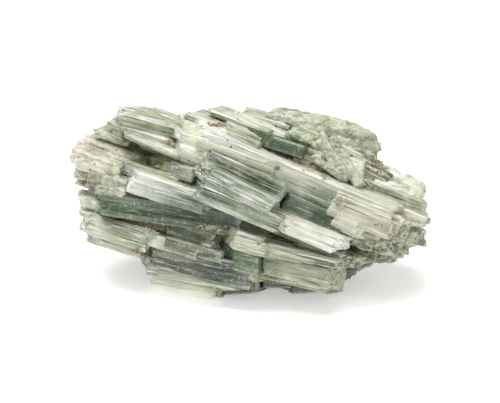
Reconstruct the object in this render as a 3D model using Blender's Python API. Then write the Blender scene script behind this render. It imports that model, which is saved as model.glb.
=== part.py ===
"""Tremolite specimen: one broken hand piece of columnar crystals, all grown into a single solid.

Metres, +Z up. The origin is on the table, under the middle of the stone. The display side faces -Y.
Each bundle of crystals on that side is laid out as it is seen from there: millimetres across to the right,
millimetres of rise up the picture plane and millimetres out towards the viewer.
"""

import math
import random

import bmesh
import bpy
from mathutils import Matrix, Vector, noise

MM = 0.001
NODE = "tremolite_crystals"
DISPLAY_TILT = math.radians(22)  # how far above the table the display side is looked at from
HEART = Vector((0.4, 2.8, 17.0)) * MM  # where across, rise and out are all zero

BUNDLES = (
    # name, left end, right end, height seen, share of it that is the top face, depth, laths,
    # and how far the left and the right break turn towards the viewer, in degrees
    ("crest_stub", (-15.0, 18.0, -2), (-8.0, 15.5, 1), 2.0, 0.5, 8, 1, 0, 10),
    ("crest_west", (-12.2, 19.7, -5), (-1.8, 15.6, -2), 3.4, 0.6, 10, 1, -10, 10),
    ("crest_mid", (-7.5, 20.7, -7), (3.1, 16.5, -4), 3.2, 0.6, 10, 1, -10, 10),
    ("crest_east", (-0.7, 20.2, -7), (9.4, 17.2, -4), 2.7, 0.6, 9, 1, 0, 10),
    ("crest_lath", (-3.4, 19.2, -4), (5.8, 15.3, -1), 1.8, 0.7, 7, 1, 10, 20),
    ("crest_white", (-6.1, 18.0, -2), (4.0, 13.9, 3), 2.5, 0.7, 8, 2, 20, 20),
    ("pale_step", (-5.1, 15.5, 3), (3.1, 11.6, 6), 2.9, 0.5, 8, 2, 10, 20),
    ("dark_crystal", (1.6, 14.5, 4), (13.9, 8.9, 8), 3.3, 0.35, 8, 1, 30, 10),
    ("knob_west", (5.4, 20.0, -6), (18.9, 17.2, -5), 3.6, 0.6, 11, 2, -10, 0),
    ("knob_front", (7.8, 16.0, -2), (17.4, 12.8, 2), 3.8, 0.6, 10, 1, 20, 10),
    ("knob_mid", (14.0, 17.9, -6), (24.7, 15.0, -4), 4.1, 0.6, 11, 2, 0, 0),
    ("knob_east", (18.0, 14.1, -4), (28.7, 11.1, -3), 4.3, 0.6, 11, 2, 0, 0),
    ("knob_low", (16.1, 11.5, -1), (29.7, 6.8, 1), 3.8, 0.6, 11, 2, 10, 5),
    ("cross_west", (15.2, 14.2, 1), (22.1, 3.9, 7), 3.3, 0.3, 8, 2, 10, 20),
    ("cross_east", (18.7, 13.3, 2), (25.2, 2.8, 7), 2.9, 0.3, 8, 2, 10, 20),
    ("cross_fan", (22.8, 9.9, 1), (24.8, 3.4, 6), 3.8, 0.3, 7, 1, 10, 20),
    ("cross_foot", (13.5, 9.4, 4), (22.5, 3.2, 8), 2.0, 0.5, 8, 1, 10, 20),
    ("right_top", (24.1, 6.8, 0), (38.0, 1.2, 4), 4.5, 0.7, 11, 2, 10, 0),
    ("right_olive", (22.6, 4.3, 4), (38.4, -1.9, 8), 2.7, 0.2, 8, 1, 10, 5),
    ("right_striped", (18.8, 3.9, 6), (38.7, -3.4, 9), 2.6, 0.6, 8, 2, 20, 5),
    ("right_rod", (26.9, -1.2, 7), (38.7, -4.7, 9), 2.2, 0.5, 8, 1, 20, 5),
    ("main_ridge", (-11.3, 16.3, 6), (19.7, 2.5, 13), 3.1, 0.7, 9, 2, 15, 20),
    ("main_ridge_end", (18.4, 2.3, 12), (33.7, -3.4, 12), 2.6, 0.6, 9, 2, 15, 20),
    ("main_knuckle", (-14.2, 15.8, 5), (-7.9, 13.3, 8), 3.1, 0.5, 9, 1, 10, 10),
    ("main_stub", (-15.9, 11.4, 6), (-7.5, 8.9, 9), 2.9, 0.4, 9, 1, 15, 10),
    ("main_cream", (-13.2, 12.9, 8), (3.9, 7.3, 11), 5.1, 0.35, 10, 3, 20, 15),
    ("main_olive", (-15.9, 10.7, 6), (2.6, 3.8, 10), 2.9, 0.1, 8, 1, 10, 10),
    ("main_green", (0.4, 6.7, 10), (18.4, -0.3, 13), 5.0, 0.3, 9, 2, 10, 15),
    ("main_wide", (16.7, 0.3, 11), (31.6, -5.4, 11), 5.7, 0.5, 10, 3, 10, 20),
    ("main_fibres", (15.8, -2.5, 11), (25.4, -7.3, 11), 3.3, 0.4, 9, 2, 10, 30),
    ("dark_blades", (6.6, 0.5, 11), (24.5, -7.6, 12), 3.3, 0.3, 8, 2, 20, 20),
    ("blade_upper", (-11.2, 10.0, 10), (7.9, 1.4, 14), 2.4, 0.4, 7, 2, 20, 10),
    ("blade_block", (-10.9, 7.1, 14), (5.6, -1.0, 17), 4.4, 0.3, 8, 2, 30, 10),
    ("blade_long", (-12.3, 3.0, 12), (20.9, -10.8, 16), 4.4, 0.45, 9, 3, 25, 20),
    ("gap_lath", (8.8, -8.5, 9), (22.0, -13.3, 10), 2.6, 0.3, 8, 1, 10, 25),
    ("tip_white", (-27.3, 15.0, 4), (-15.4, 9.8, 8), 3.3, 0.5, 8, 2, 15, 10),
    ("top_left_back", (-27.1, 20.9, -6), (-20.2, 19.5, -4), 2.0, 0.6, 8, 1, -20, 10),
    ("top_left_a", (-22.9, 20.4, -4), (-14.1, 16.5, -2), 2.5, 0.6, 9, 1, -15, 10),
    ("top_left_b", (-27.0, 19.2, -4), (-14.7, 14.2, 0), 2.7, 0.5, 9, 1, -20, 10),
    ("top_left_c", (-30.1, 17.9, -4), (-17.1, 12.8, 2), 2.9, 0.4, 9, 2, -10, 10),
    ("left_block", (-33.6, 16.1, -5), (-26.5, 13.6, -4), 3.4, 0.5, 9, 1, -10, 10),
    ("left_chip", (-30.6, 16.5, -4), (-27.4, 15.4, -2), 1.8, 0.6, 6, 1, 0, 10),
    ("left_grey", (-36.3, 14.1, -6), (-23.3, 9.1, -2), 2.9, 0.5, 9, 2, 0, 10),
    ("left_beige", (-38.2, 12.7, -4), (-26.4, 8.6, -1), 2.9, 0.5, 9, 2, 0, 10),
    ("left_pink", (-38.7, 11.4, -4), (-28.5, 7.7, 2), 3.4, 0.5, 9, 2, 0, 10),
    ("left_rod", (-39.3, 8.8, 0), (-27.5, 6.3, 5), 3.3, 0.5, 9, 2, 5, 10),
    ("left_brown", (-39.0, 6.6, -2), (-29.3, 4.6, 3), 2.7, 0.3, 8, 1, 0, 10),
    ("left_foot", (-38.2, 4.8, -4), (-30.8, 3.0, 0), 2.2, 0.3, 8, 1, 0, 10),
    ("left_low", (-38.1, 1.0, -2), (-29.8, -1.0, 3), 3.3, 0.4, 9, 1, 5, 10),
    ("left_white", (-37.8, -1.9, 0), (-29.3, -3.4, 4), 2.4, 0.5, 7, 1, 5, 10),
    ("centre_thin", (-27.5, 8.5, 4), (-15.9, 5.4, 8), 2.0, 0.5, 7, 1, 10, 10),
    ("wedge_grey", (-17.1, 7.2, 5), (-10.6, 5.2, 9), 3.5, 0.4, 8, 2, 20, 10),
    ("centre_cream", (-26.8, 5.2, 6), (-7.9, -0.8, 11), 5.1, 0.4, 10, 3, 15, 25),
    ("centre_teal", (-34.0, 0.3, 4), (-6.1, -3.8, 11), 4.2, 0.1, 9, 2, 15, 10),
    ("centre_chip", (-31.8, 3.4, 7), (-26.9, 2.3, 9), 2.2, 0.5, 6, 1, 10, 20),
    ("centre_back", (-32.0, 5.4, 3), (-26.1, 3.9, 6), 2.7, 0.5, 9, 1, 10, 20),
    ("under_upper", (-36.1, -3.2, 2), (-18.0, -8.0, 9), 2.2, 0.4, 8, 2, 10, 10),
    ("under_green", (-36.8, -4.8, 1), (-22.0, -9.4, 8), 3.1, 0.3, 9, 2, 5, 10),
    ("under_cream", (-34.0, -7.3, 0), (-23.9, -10.3, 6), 2.2, 0.3, 8, 1, 5, 10),
    ("low_upper", (-25.0, -7.0, 6), (-10.5, -11.3, 11), 2.9, 0.4, 8, 2, 15, 10),
    ("low_step", (-19.4, -8.0, 9), (-5.3, -11.9, 12), 2.6, 0.5, 8, 2, 15, 10),
    ("low_wide", (-22.6, -11.6, 5), (0.4, -16.3, 12), 5.1, 0.15, 9, 3, 15, 15),
    ("low_white", (-22.6, -14.5, 5), (-1.3, -18.1, 10), 2.4, 0.4, 9, 2, 10, 15),
    ("low_cream", (-21.6, -16.8, 3), (-6.2, -19.7, 8), 2.7, 0.3, 9, 2, 5, 20),
    ("shard_dark", (-19.0, -5.2, 7), (-7.0, -8.9, 10), 3.3, 0.4, 8, 2, 20, 15),
    ("shard_stripes", (-11.8, -8.9, 11), (-7.0, -10.2, 12), 1.5, 0.5, 6, 1, 20, 20),
    ("block_upper", (-6.1, -5.6, 11), (3.1, -9.1, 13), 2.4, 0.5, 9, 1, 25, 15),
    ("block_top", (-4.8, -8.4, 12), (11.7, -13.6, 16), 3.5, 0.45, 9, 2, 25, 15),
    ("block_face", (-7.0, -11.3, 11), (17.9, -17.3, 15), 4.2, 0.15, 9, 3, 25, 20),
    ("block_low", (-8.2, -13.8, 8), (2.6, -16.3, 12), 2.6, 0.1, 9, 1, 25, 20),
    ("slope_grey", (3.1, -8.7, 9), (20.6, -13.5, 12), 3.7, 0.4, 9, 2, 15, 20),
    ("slope_pale", (2.6, -10.9, 10), (19.2, -15.9, 13), 3.1, 0.4, 9, 2, 15, 20),
    ("slope_low", (3.5, -14.9, 8), (16.6, -17.6, 12), 3.1, 0.2, 9, 2, 15, 20),
    ("grain_upper", (19.4, -2.5, 9), (31.2, -7.1, 10), 5.3, 0.3, 10, 3, 10, 40),
    ("grain_mid", (21.0, -6.7, 7), (30.4, -10.0, 8), 4.9, 0.2, 10, 3, 10, 40),
    ("grain_east", (25.7, -5.0, 4), (35.4, -7.9, 6), 4.9, 0.3, 10, 2, 10, 35),
    ("grain_low", (17.6, -11.6, 8), (22.5, -12.9, 9), 3.5, 0.2, 9, 2, 10, 35),
    ("tail_low", (21.2, -11.5, 0), (31.6, -11.5, 3), 3.6, 0.2, 9, 2, 10, 10),
    ("tail_east", (28.3, -8.4, -3), (36.9, -7.9, -1), 4.5, 0.2, 10, 2, 10, 10),
    ("base_west", (-7.2, -18.9, 0), (3.1, -18.1, 4), 3.1, 0.1, 12, 1, 10, 15),
    ("base_mid", (1.3, -17.3, 1), (10.2, -17.2, 4), 2.9, 0.1, 12, 1, 10, 15),
    ("base_east", (7.6, -18.4, 1), (18.2, -17.6, 4), 3.6, 0.1, 12, 1, 10, 20),
    ("base_tail", (17.0, -14.9, -1), (25.4, -13.3, 2), 2.9, 0.1, 10, 1, 10, 20),
)

# How freely the crystals grew and broke.
PLACE_SPREAD = 0.3  # a lath's place beside its neighbours, mm either way
LENGTH_SPREAD = 0.6  # a lath's ends beside its neighbours' ends, mm either way
BREAK_SPREAD = math.radians(6)
CROSS_BREAK_SPREAD = math.radians(14)
SKEW = 0.35  # how far a lath's section can lean from a rectangle towards a cleavage rhomb
LATH_OVERLAP = 1.25  # each lath is this much wider than its share, so that neighbours grow into each other
FLAT_BUNDLE = 0.6  # a bundle thinner than this share of its depth splits along its depth
STEEPEST_ROLL = 0.95
THINNEST = 1.0

# The massive heart that the columns grow from, a lump.
HEART_HALF = (34.0, 14.0, 13.6)
HEART_LUMPS = 0.1
HEART_LUMP_SCALE = 3.1
HEART_SUBDIVISIONS = 3

# The back and the underside: rows of like bundles lie along the heart's surface.
MAIN_RUN = (0.88, -0.38, 0.16)  # the way the columns run, in across, rise and out
RUN_SPREAD = 0.08
BACK_HALF_LENGTH = 36.0
BACK_BLUNTNESS = 0.15
BACK_LENGTHS = (7.0, 11.0)
BACK_DEPTHS = (6.0, 8.0)
BACK_THICKNESSES = (4.5, 7.0)
BACK_ROLL = math.radians(25)
BACK_TURNS = (5, 25)
BACK_ROWS = (
    # angle round the long axis from straight up, bundles, first and last place across, distance from the heart
    (30, 4, -15.0, 18.0, 12.0),
    (54, 5, -22.0, 20.0, 12.5),
    (78, 5, -25.0, 22.0, 12.5),
    (102, 5, -25.0, 23.0, 12.0),
    (126, 5, -23.0, 22.0, 12.0),
    (148, 5, -20.0, 20.0, 13.0),
    (166, 5, -16.0, 18.0, 14.5),
    (186, 4, -12.0, 15.0, 14.5),
    (206, 3, -8.0, 12.0, 14.0),
)

# The lowest crystals are worn off level, and the stone rests on them.
TABLE_BLOCK = (120.0, 120.0, 30.0)

COLOUR = (0.50, 0.56, 0.43, 1.0)
ROUGHNESS = 0.45


def placed(across, rise, out):
    """The point given as seen from the display side, in the part's own frame."""
    y = rise * math.sin(DISPLAY_TILT) - out * math.cos(DISPLAY_TILT)
    z = rise * math.cos(DISPLAY_TILT) + out * math.sin(DISPLAY_TILT)
    return HEART + Vector((across, y, z)) * MM


def add_lath(bm, start, end, front, top, deep, thick, breaks, lean):
    """Add a four-sided cleavage prism to bm, as a closed shell.

    Each break is a vector: a corner's place along the lath changes by that vector's dot product with its offset.
    """
    axis = (end - start).normalized()
    rings = []
    for point, slope in zip((start, end), breaks):
        ring = []
        for along_front, along_top in ((-0.5, -0.5), (0.5, -0.5), (0.5, 0.5), (-0.5, 0.5)):
            offset = front * (along_front * deep + along_top * thick * lean) + top * along_top * thick
            ring.append(bm.verts.new(point + offset + axis * slope.dot(offset)))
        rings.append(ring)
    first, last = rings
    bm.faces.new(first)
    bm.faces.new(reversed(last))
    for i in range(4):
        j = (i + 1) % 4
        bm.faces.new((first[j], first[i], last[i], last[j]))


def add_laths(bm, dice, start, end, facing, roll, depth, thick, laths, left_turn, right_turn):
    """Add the laths of one bundle, side by side, each broken off at its own place."""
    axis = (end - start).normalized()
    level = facing.cross(axis)
    turn = Matrix.Rotation(roll, 3, axis)
    front, top = turn @ facing, turn @ level
    place_spread = PLACE_SPREAD * (laths > 1)
    length_spread = LENGTH_SPREAD * (laths > 1)
    for k in range(laths):
        share = (k + 0.5) / laths - 0.5
        if thick > depth * FLAT_BUNDLE:
            p, q, deep, tall = 0.0, share * thick, depth, thick / laths * LATH_OVERLAP
        else:
            p, q, deep, tall = share * depth, 0.0, depth / laths * LATH_OVERLAP, thick
        p += dice.uniform(-place_spread, place_spread)
        q += dice.uniform(-place_spread, place_spread)
        shift = (front * p + top * q) * MM
        breaks = []
        for angle in (left_turn, -right_turn):
            towards_viewer = math.tan(angle + dice.uniform(-BREAK_SPREAD, BREAK_SPREAD))
            upwards = math.tan(dice.uniform(-CROSS_BREAK_SPREAD, CROSS_BREAK_SPREAD))
            breaks.append(facing * towards_viewer + level * upwards)
        ends = []
        for point, slope in zip((start, end), breaks):
            along = slope.dot(shift) + dice.uniform(-length_spread, length_spread) * MM
            ends.append(point + shift + axis * along)
        add_lath(bm, *ends, front, top, deep * MM, tall * MM, breaks, dice.uniform(-SKEW, SKEW))


def add_seen_bundle(bm, row):
    """Add a bundle of the display side, turned about its axis so that its top face shows its share."""
    name, left, right, seen_height, top_share, depth, laths, left_turn, right_turn = row
    start, end = placed(*left), placed(*right)
    axis = (end - start).normalized()
    outward = (placed(0, 0, 1) - placed(0, 0, 0)).normalized()
    facing = (outward - axis * outward.dot(axis)).normalized()
    nearing = math.asin(outward.dot(axis))
    roll = math.asin(min(STEEPEST_ROLL, top_share * seen_height / depth))
    thick = max(THINNEST, (1 - top_share) * seen_height / math.cos(roll))
    turns = math.radians(left_turn) + nearing, math.radians(right_turn) - nearing
    add_laths(bm, random.Random(name), start, end, facing, roll, depth, thick, laths, *turns)


def add_back_row(bm, angle, count, first, last, distance):
    """Add bundles side by side along the back or the underside, at one angle round the long axis."""
    dice = random.Random(angle)
    run = (placed(*MAIN_RUN) - placed(0, 0, 0)).normalized()
    around = math.radians(angle)
    outward = Vector((0.0, math.sin(around), math.cos(around)))
    for k in range(count):
        across = first + (last - first) * k / (count - 1) + dice.uniform(-1.5, 1.5)
        taper = math.sqrt(max(BACK_BLUNTNESS, 1 - (across / BACK_HALF_LENGTH) ** 2))
        reach = distance * taper + dice.uniform(-0.8, 0.8)
        middle = HEART + (Vector((across, 0, 0)) + outward * reach) * MM
        stray = Vector([dice.uniform(-RUN_SPREAD, RUN_SPREAD) for _ in range(3)])
        axis = (run + stray).normalized()
        half = axis * dice.uniform(*BACK_LENGTHS) * MM * (1 + taper) / 2
        facing = (outward - axis * outward.dot(axis)).normalized()
        roll = dice.uniform(-BACK_ROLL, BACK_ROLL)
        depth, thick = dice.uniform(*BACK_DEPTHS), dice.uniform(*BACK_THICKNESSES)
        laths = dice.choice((1, 2, 2))
        turns = [math.radians(dice.uniform(*BACK_TURNS)) for _ in range(2)]
        add_laths(bm, dice, middle - half, middle + half, facing, roll, depth, thick, laths, *turns)


def new_object(name, bm):
    bmesh.ops.recalc_face_normals(bm, faces=bm.faces)
    mesh = bpy.data.meshes.new(name)
    bm.to_mesh(mesh)
    bm.free()
    obj = bpy.data.objects.new(name, mesh)
    bpy.context.scene.collection.objects.link(obj)
    return obj


def make_heart():
    bm = bmesh.new()
    bmesh.ops.create_icosphere(bm, subdivisions=HEART_SUBDIVISIONS, radius=1.0)
    for vert in bm.verts:
        swell = 1 + HEART_LUMPS * noise.noise(vert.co * HEART_LUMP_SCALE)
        vert.co = HEART + Vector([c * half * swell for c, half in zip(vert.co, HEART_HALF)]) * MM
    return new_object(NODE, bm)


def make_columns():
    bm = bmesh.new()
    for row in BUNDLES:
        add_seen_bundle(bm, row)
    for row in BACK_ROWS:
        add_back_row(bm, *row)
    return new_object("columns", bm)


def make_table_block():
    """The space under the table, which the stone is cut level with."""
    size = Vector(TABLE_BLOCK) * MM
    bm = bmesh.new()
    bmesh.ops.create_cube(bm, size=1.0)
    bmesh.ops.scale(bm, vec=size, verts=bm.verts)
    bmesh.ops.translate(bm, vec=(0, 0, -size.z / 2), verts=bm.verts)
    return new_object("table_block", bm)


def combine(target, tool, operation):
    """Replace target's mesh with its Boolean with tool, and remove tool."""
    modifier = target.modifiers.new(operation, "BOOLEAN")
    modifier.operation = operation
    modifier.solver = "EXACT"
    modifier.use_self = True
    modifier.object = tool
    graph = bpy.context.evaluated_depsgraph_get()
    mesh = bpy.data.meshes.new_from_object(target.evaluated_get(graph))
    target.modifiers.clear()
    target.data = mesh
    bpy.data.objects.remove(tool)


def fill_pockets(obj):
    """Keep only the outer skin: drop the shells of pockets that the crystals enclose."""
    bm = bmesh.new()
    bm.from_mesh(obj.data)
    unseen = set(bm.verts)
    shells = []
    while unseen:
        shell = [unseen.pop()]
        for vert in shell:
            for edge in vert.link_edges:
                neighbour = edge.other_vert(vert)
                if neighbour in unseen:
                    unseen.remove(neighbour)
                    shell.append(neighbour)
        shells.append(shell)
    shells.sort(key=len)
    for shell in shells[:-1]:
        bmesh.ops.delete(bm, geom=shell, context="VERTS")
    bm.to_mesh(obj.data)
    bm.free()


def tremolite_material():
    material = bpy.data.materials.new(NODE)
    material.use_nodes = True
    shader = material.node_tree.nodes["Principled BSDF"]
    shader.inputs["Base Color"].default_value = COLOUR
    shader.inputs["Roughness"].default_value = ROUGHNESS
    shader.inputs["Metallic"].default_value = 0.0
    return material


def main():
    for old in list(bpy.data.objects):
        bpy.data.objects.remove(old)
    stone = make_heart()
    combine(stone, make_columns(), "UNION")
    combine(stone, make_table_block(), "DIFFERENCE")
    fill_pockets(stone)
    stone.data.name = NODE
    stone.data.materials.clear()
    stone.data.materials.append(tremolite_material())


if __name__ == "__main__":
    main()
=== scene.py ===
"""Tremolite specimen: the finish of its crystals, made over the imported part.

The columns lie where the part's solids have them. Each bundle is laid out as it is seen from the display
side: in millimetres across to the right, upwards at a right angle to the line of sight, and out towards the
viewer. Here every lath gets its cleavage strips, blunt frosted ends, fibres, grains and colour.
"""

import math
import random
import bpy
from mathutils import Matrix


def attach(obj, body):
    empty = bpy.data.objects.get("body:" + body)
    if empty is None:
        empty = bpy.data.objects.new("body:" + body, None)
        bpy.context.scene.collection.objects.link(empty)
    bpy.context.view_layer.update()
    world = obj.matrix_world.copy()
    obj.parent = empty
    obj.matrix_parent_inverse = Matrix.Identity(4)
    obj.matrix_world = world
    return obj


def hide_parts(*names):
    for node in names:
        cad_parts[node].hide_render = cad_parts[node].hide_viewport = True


bl_info = {
    "name": "Tremolite Specimen",
    "version": (1, 0, 0),
    "blender": (4, 5, 0),
    "location": "View3D > Sidebar > Tremolite",
    "description": "Dresses a hand specimen of columnar tremolite and sets its stage",
    "category": "Object",
}

from collections import namedtuple

import bmesh
import bpy
import numpy as np
from bpy.props import FloatProperty, FloatVectorProperty, IntProperty, PointerProperty, StringProperty
from mathutils import Matrix, Vector, kdtree, noise
from mathutils.bvhtree import BVHTree

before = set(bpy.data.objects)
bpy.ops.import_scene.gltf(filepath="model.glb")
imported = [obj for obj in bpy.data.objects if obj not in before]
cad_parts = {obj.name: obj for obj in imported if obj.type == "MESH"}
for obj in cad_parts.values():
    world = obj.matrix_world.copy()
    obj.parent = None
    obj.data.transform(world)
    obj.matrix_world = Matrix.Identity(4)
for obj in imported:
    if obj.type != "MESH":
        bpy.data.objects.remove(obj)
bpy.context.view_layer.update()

MM = 0.001
NODE = "tremolite_crystals"
DISPLAY_TILT = math.radians(22)  # how far above the table the display side is looked at from
HEART = Vector((0.4, 2.8, 17.0)) * MM  # where across, rise and out are all zero

# How freely the crystals grew and broke, as in the part's solids.
PLACE_SPREAD = 0.3
LENGTH_SPREAD = 0.6
BREAK_SPREAD = math.radians(6)
CROSS_BREAK_SPREAD = math.radians(14)
SKEW = 0.35
LATH_OVERLAP = 1.25
FLAT_BUNDLE = 0.6  # a bundle thicker than this share of its depth has its laths one above another
STEEPEST_ROLL = 0.95  # sine of the steepest roll that a bundle's top face is seen at
THINNEST = 1.0
HEART_HALF = (34.0, 14.0, 13.6)
HEART_SUBDIVISIONS = 6
HEART_SWELL = 0.90
HEART_LUMPS = 0.1
HEART_LUMP_SCALE = 3.1
HEART_GRAIN = ((14.0, 0.02), (37.0, 0.012))  # scale and height of its finer lumps
MAIN_RUN = (0.88, -0.38, 0.16)
RUN_SPREAD = 0.08
BACK_HALF_LENGTH = 36.0  # the back tapers to its ends, but no further than its bluntness
BACK_BLUNTNESS = 0.15
BACK_PLACE_SPREAD = 1.5
BACK_REACH_SPREAD = 0.8
BACK_LENGTHS = (7.0, 11.0)
BACK_DEPTHS = (6.0, 8.0)
BACK_THICKNESSES = (4.5, 7.0)
BACK_LATHS = (1, 2, 2)
BACK_ROLL = math.radians(25)
BACK_TURNS = (5, 25)
BACK_ROWS = (
    # angle round the long axis from straight up, bundles, first and last place across,
    # distance from the heart
    (30, 4, -15.0, 18.0, 12.0),
    (54, 5, -22.0, 20.0, 12.5),
    (78, 5, -25.0, 22.0, 12.5),
    (102, 5, -25.0, 23.0, 12.0),
    (126, 5, -23.0, 22.0, 12.0),
    (148, 5, -20.0, 20.0, 13.0),
    (166, 5, -16.0, 18.0, 14.5),
    (186, 4, -12.0, 15.0, 14.5),
    (206, 3, -8.0, 12.0, 14.0),
)
RIM_ROWS = BACK_ROWS[:2]  # shown over the rim of the display side
BACK_PIECES = {"back_columns": BACK_ROWS[:5], "underside_columns": BACK_ROWS[5:]}
RIM_TINTS = ("pale", "straw", "cream", "moss")
BACK_TINTS = ("pale", "green", "straw", "cream", "teal", "smoke", "olive")
BACK_HABITS = ("silky", "stepped", "glassy", "silky", "crumbly")

# Columns deeper in, seen in the gaps between the bundles of the display side.
CREVICE_ANGLES = range(224, 362, 9)
CREVICE_REACH = 26.0
CREVICE_SPACING = 8.0
CREVICE_LENGTHS = (8.0, 12.0)
CREVICE_THICKNESSES = (2.2, 3.6)
CREVICE_DEPTH = 4.0
CREVICE_PROUD = (-1.0, 0.2)
CREVICE_PLACE_SPREAD = 2.0
CREVICE_BLUNTNESS = 0.1
CREVICE_LEAN = 0.5  # how far the heart's surface leans away at its very ends
CREVICE_ROLL = 0.3
CREVICE_TURN = 0.2
CREVICE_TINTS = ("olive", "smoke", "straw", "olive", "moss")

# The columns of the display side: name, left end, right end, height seen, share of it that is the top face,
# depth, laths, how far the left and the right break turn towards the viewer in degrees, and last in one
# string the tint at each end and the habit. The names seed the draws.
BUNDLES = {}
BUNDLES["crest_columns"] = (
    ("crest_west", (-12.2, 19.7, -5), (-1.8, 15.6, -2), 3.4, 0.6, 10, 1, -10, 10, "pale straw worn"),
    ("crest_mid", (-7.5, 20.7, -7), (3.1, 16.5, -4), 3.2, 0.6, 10, 1, -10, 10, "pale pale worn"),
    ("crest_east", (-0.7, 20.2, -7), (9.4, 17.2, -4), 2.7, 0.6, 9, 1, 0, 10, "pale straw worn"),
    ("crest_lath", (-3.4, 19.2, -4), (5.8, 15.3, -1), 1.8, 0.7, 7, 1, 10, 20, "white pale stepped"),
    ("crest_white", (-6.1, 18.0, -2), (4.0, 13.9, 3), 2.5, 0.7, 8, 1, 20, 20, "white pale stepped"),
    ("pale_step", (-5.1, 16.0, 4.2), (2.6, 12.6, 6.6), 2.6, 0.5, 8, 2, 10, 20, "straw green silky"),
    ("dark_crystal", (0.9, 14.6, 5), (12.9, 10.7, 7.4), 3.0, 0.2, 8, 1, 30, 10, "bottle bottle clear"),
    ("crest_plane", (-11.5, 17.6, -5), (6.5, 13.4, -2), 5.5, 0.5, 8, 2, 0, 10, "pale cream silky"),
)
BUNDLES["knob_columns"] = (
    ("knob_west", (5.4, 20.0, -6), (18.9, 17.2, -5), 3.6, 0.6, 11, 2, -10, 0, "green moss crusty"),
    ("knob_front", (7.8, 16.0, -2), (17.4, 12.8, 2), 3.8, 0.6, 10, 1, 20, 10, "moss moss crusty"),
    ("knob_mid", (14.0, 17.9, -6), (24.7, 15.0, -4), 4.1, 0.6, 11, 2, 0, 0, "pale green crusty"),
    ("knob_east", (18.0, 14.1, -4), (28.7, 11.1, -3), 4.3, 0.6, 11, 2, 0, 0, "green moss crusty"),
    ("knob_low", (16.1, 11.5, -1), (29.7, 6.8, 1), 3.8, 0.6, 11, 2, 10, 5, "green moss crusty"),
    ("right_top", (23.6, 7.4, 0.5), (38.0, 1.6, 4.5), 5.2, 0.7, 11, 1, 10, 0, "white cream crusty"),
)
BUNDLES["cross_columns"] = (
    ("crest_stub", (-15.8, 18.3, -3), (-8.0, 15.5, 1), 2.8, 0.5, 8, 1, 0, 10, "cream cream silky"),
    ("cross_west", (15.2, 14.4, 4), (22.3, 3.9, 10.6), 2.8, 0.2, 6, 2, 10, 20, "pale glass silky"),
    ("cross_east", (18.5, 13.6, 4), (25.0, 2.6, 10.6), 2.4, 0.2, 6, 2, 10, 20, "glass pale silky"),
    ("cross_fan", (24.6, 9.4, 4), (23.6, 2.6, 9.6), 2.2, 0.2, 5, 1, 10, 20, "pale pale silky"),
    ("cross_foot", (13.9, 9.9, 7.6), (21.6, 4.6, 10.6), 1.6, 0.4, 5, 1, 10, 20, "straw green silky"),
    ("main_knuckle", (-15.7, 16.0, 3.6), (-7.9, 13.0, 8), 4.4, 0.5, 9, 1, 10, 10, "cream cream silky"),
    ("main_stub", (-16.6, 12.6, 4.5), (-7.5, 9.4, 9), 4.2, 0.4, 9, 1, 15, 10, "white cream silky"),
)
BUNDLES["right_columns"] = (
    ("right_olive", (22.6, 4.5, 5), (38.2, -1.4, 8.6), 3.2, 0.1, 8, 1, 10, 5, "olive green silky"),
    ("right_striped", (18.8, 3.3, 6), (38.7, -3.9, 9), 2.6, 0.3, 8, 1, 20, 5, "cream cream silky"),
    ("right_rod", (26.9, -1.2, 7), (38.7, -4.7, 9), 2.2, 0.2, 8, 1, 20, 5, "cream straw worn"),
    ("main_ridge_end", (19.5, 1.4, 10.6), (35.0, -4.3, 11), 3.0, 0.4, 9, 1, 15, 20, "white cream silky"),
    ("main_wide", (17.0, 0.6, 12.4), (32.0, -5.0, 12.2), 6.6, 0.15, 10, 2, 10, 20, "cream cream silky"),
    ("main_fibres", (17.4, -3.2, 13), (26.0, -7.0, 12.6), 3.6, 0.15, 9, 2, 10, 30, "cream cream silky"),
    ("dark_blades", (6.6, 0.7, 12.6), (22.0, -6.1, 12.8), 3.8, 0.05, 8, 1, 20, 20, "dark bottle broken"),
    ("right_plane", (20.5, 2.6, 3.4), (36.5, -2.6, 6), 7.5, 0.3, 8, 1, 10, 10, "straw pale silky"),
)
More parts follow.
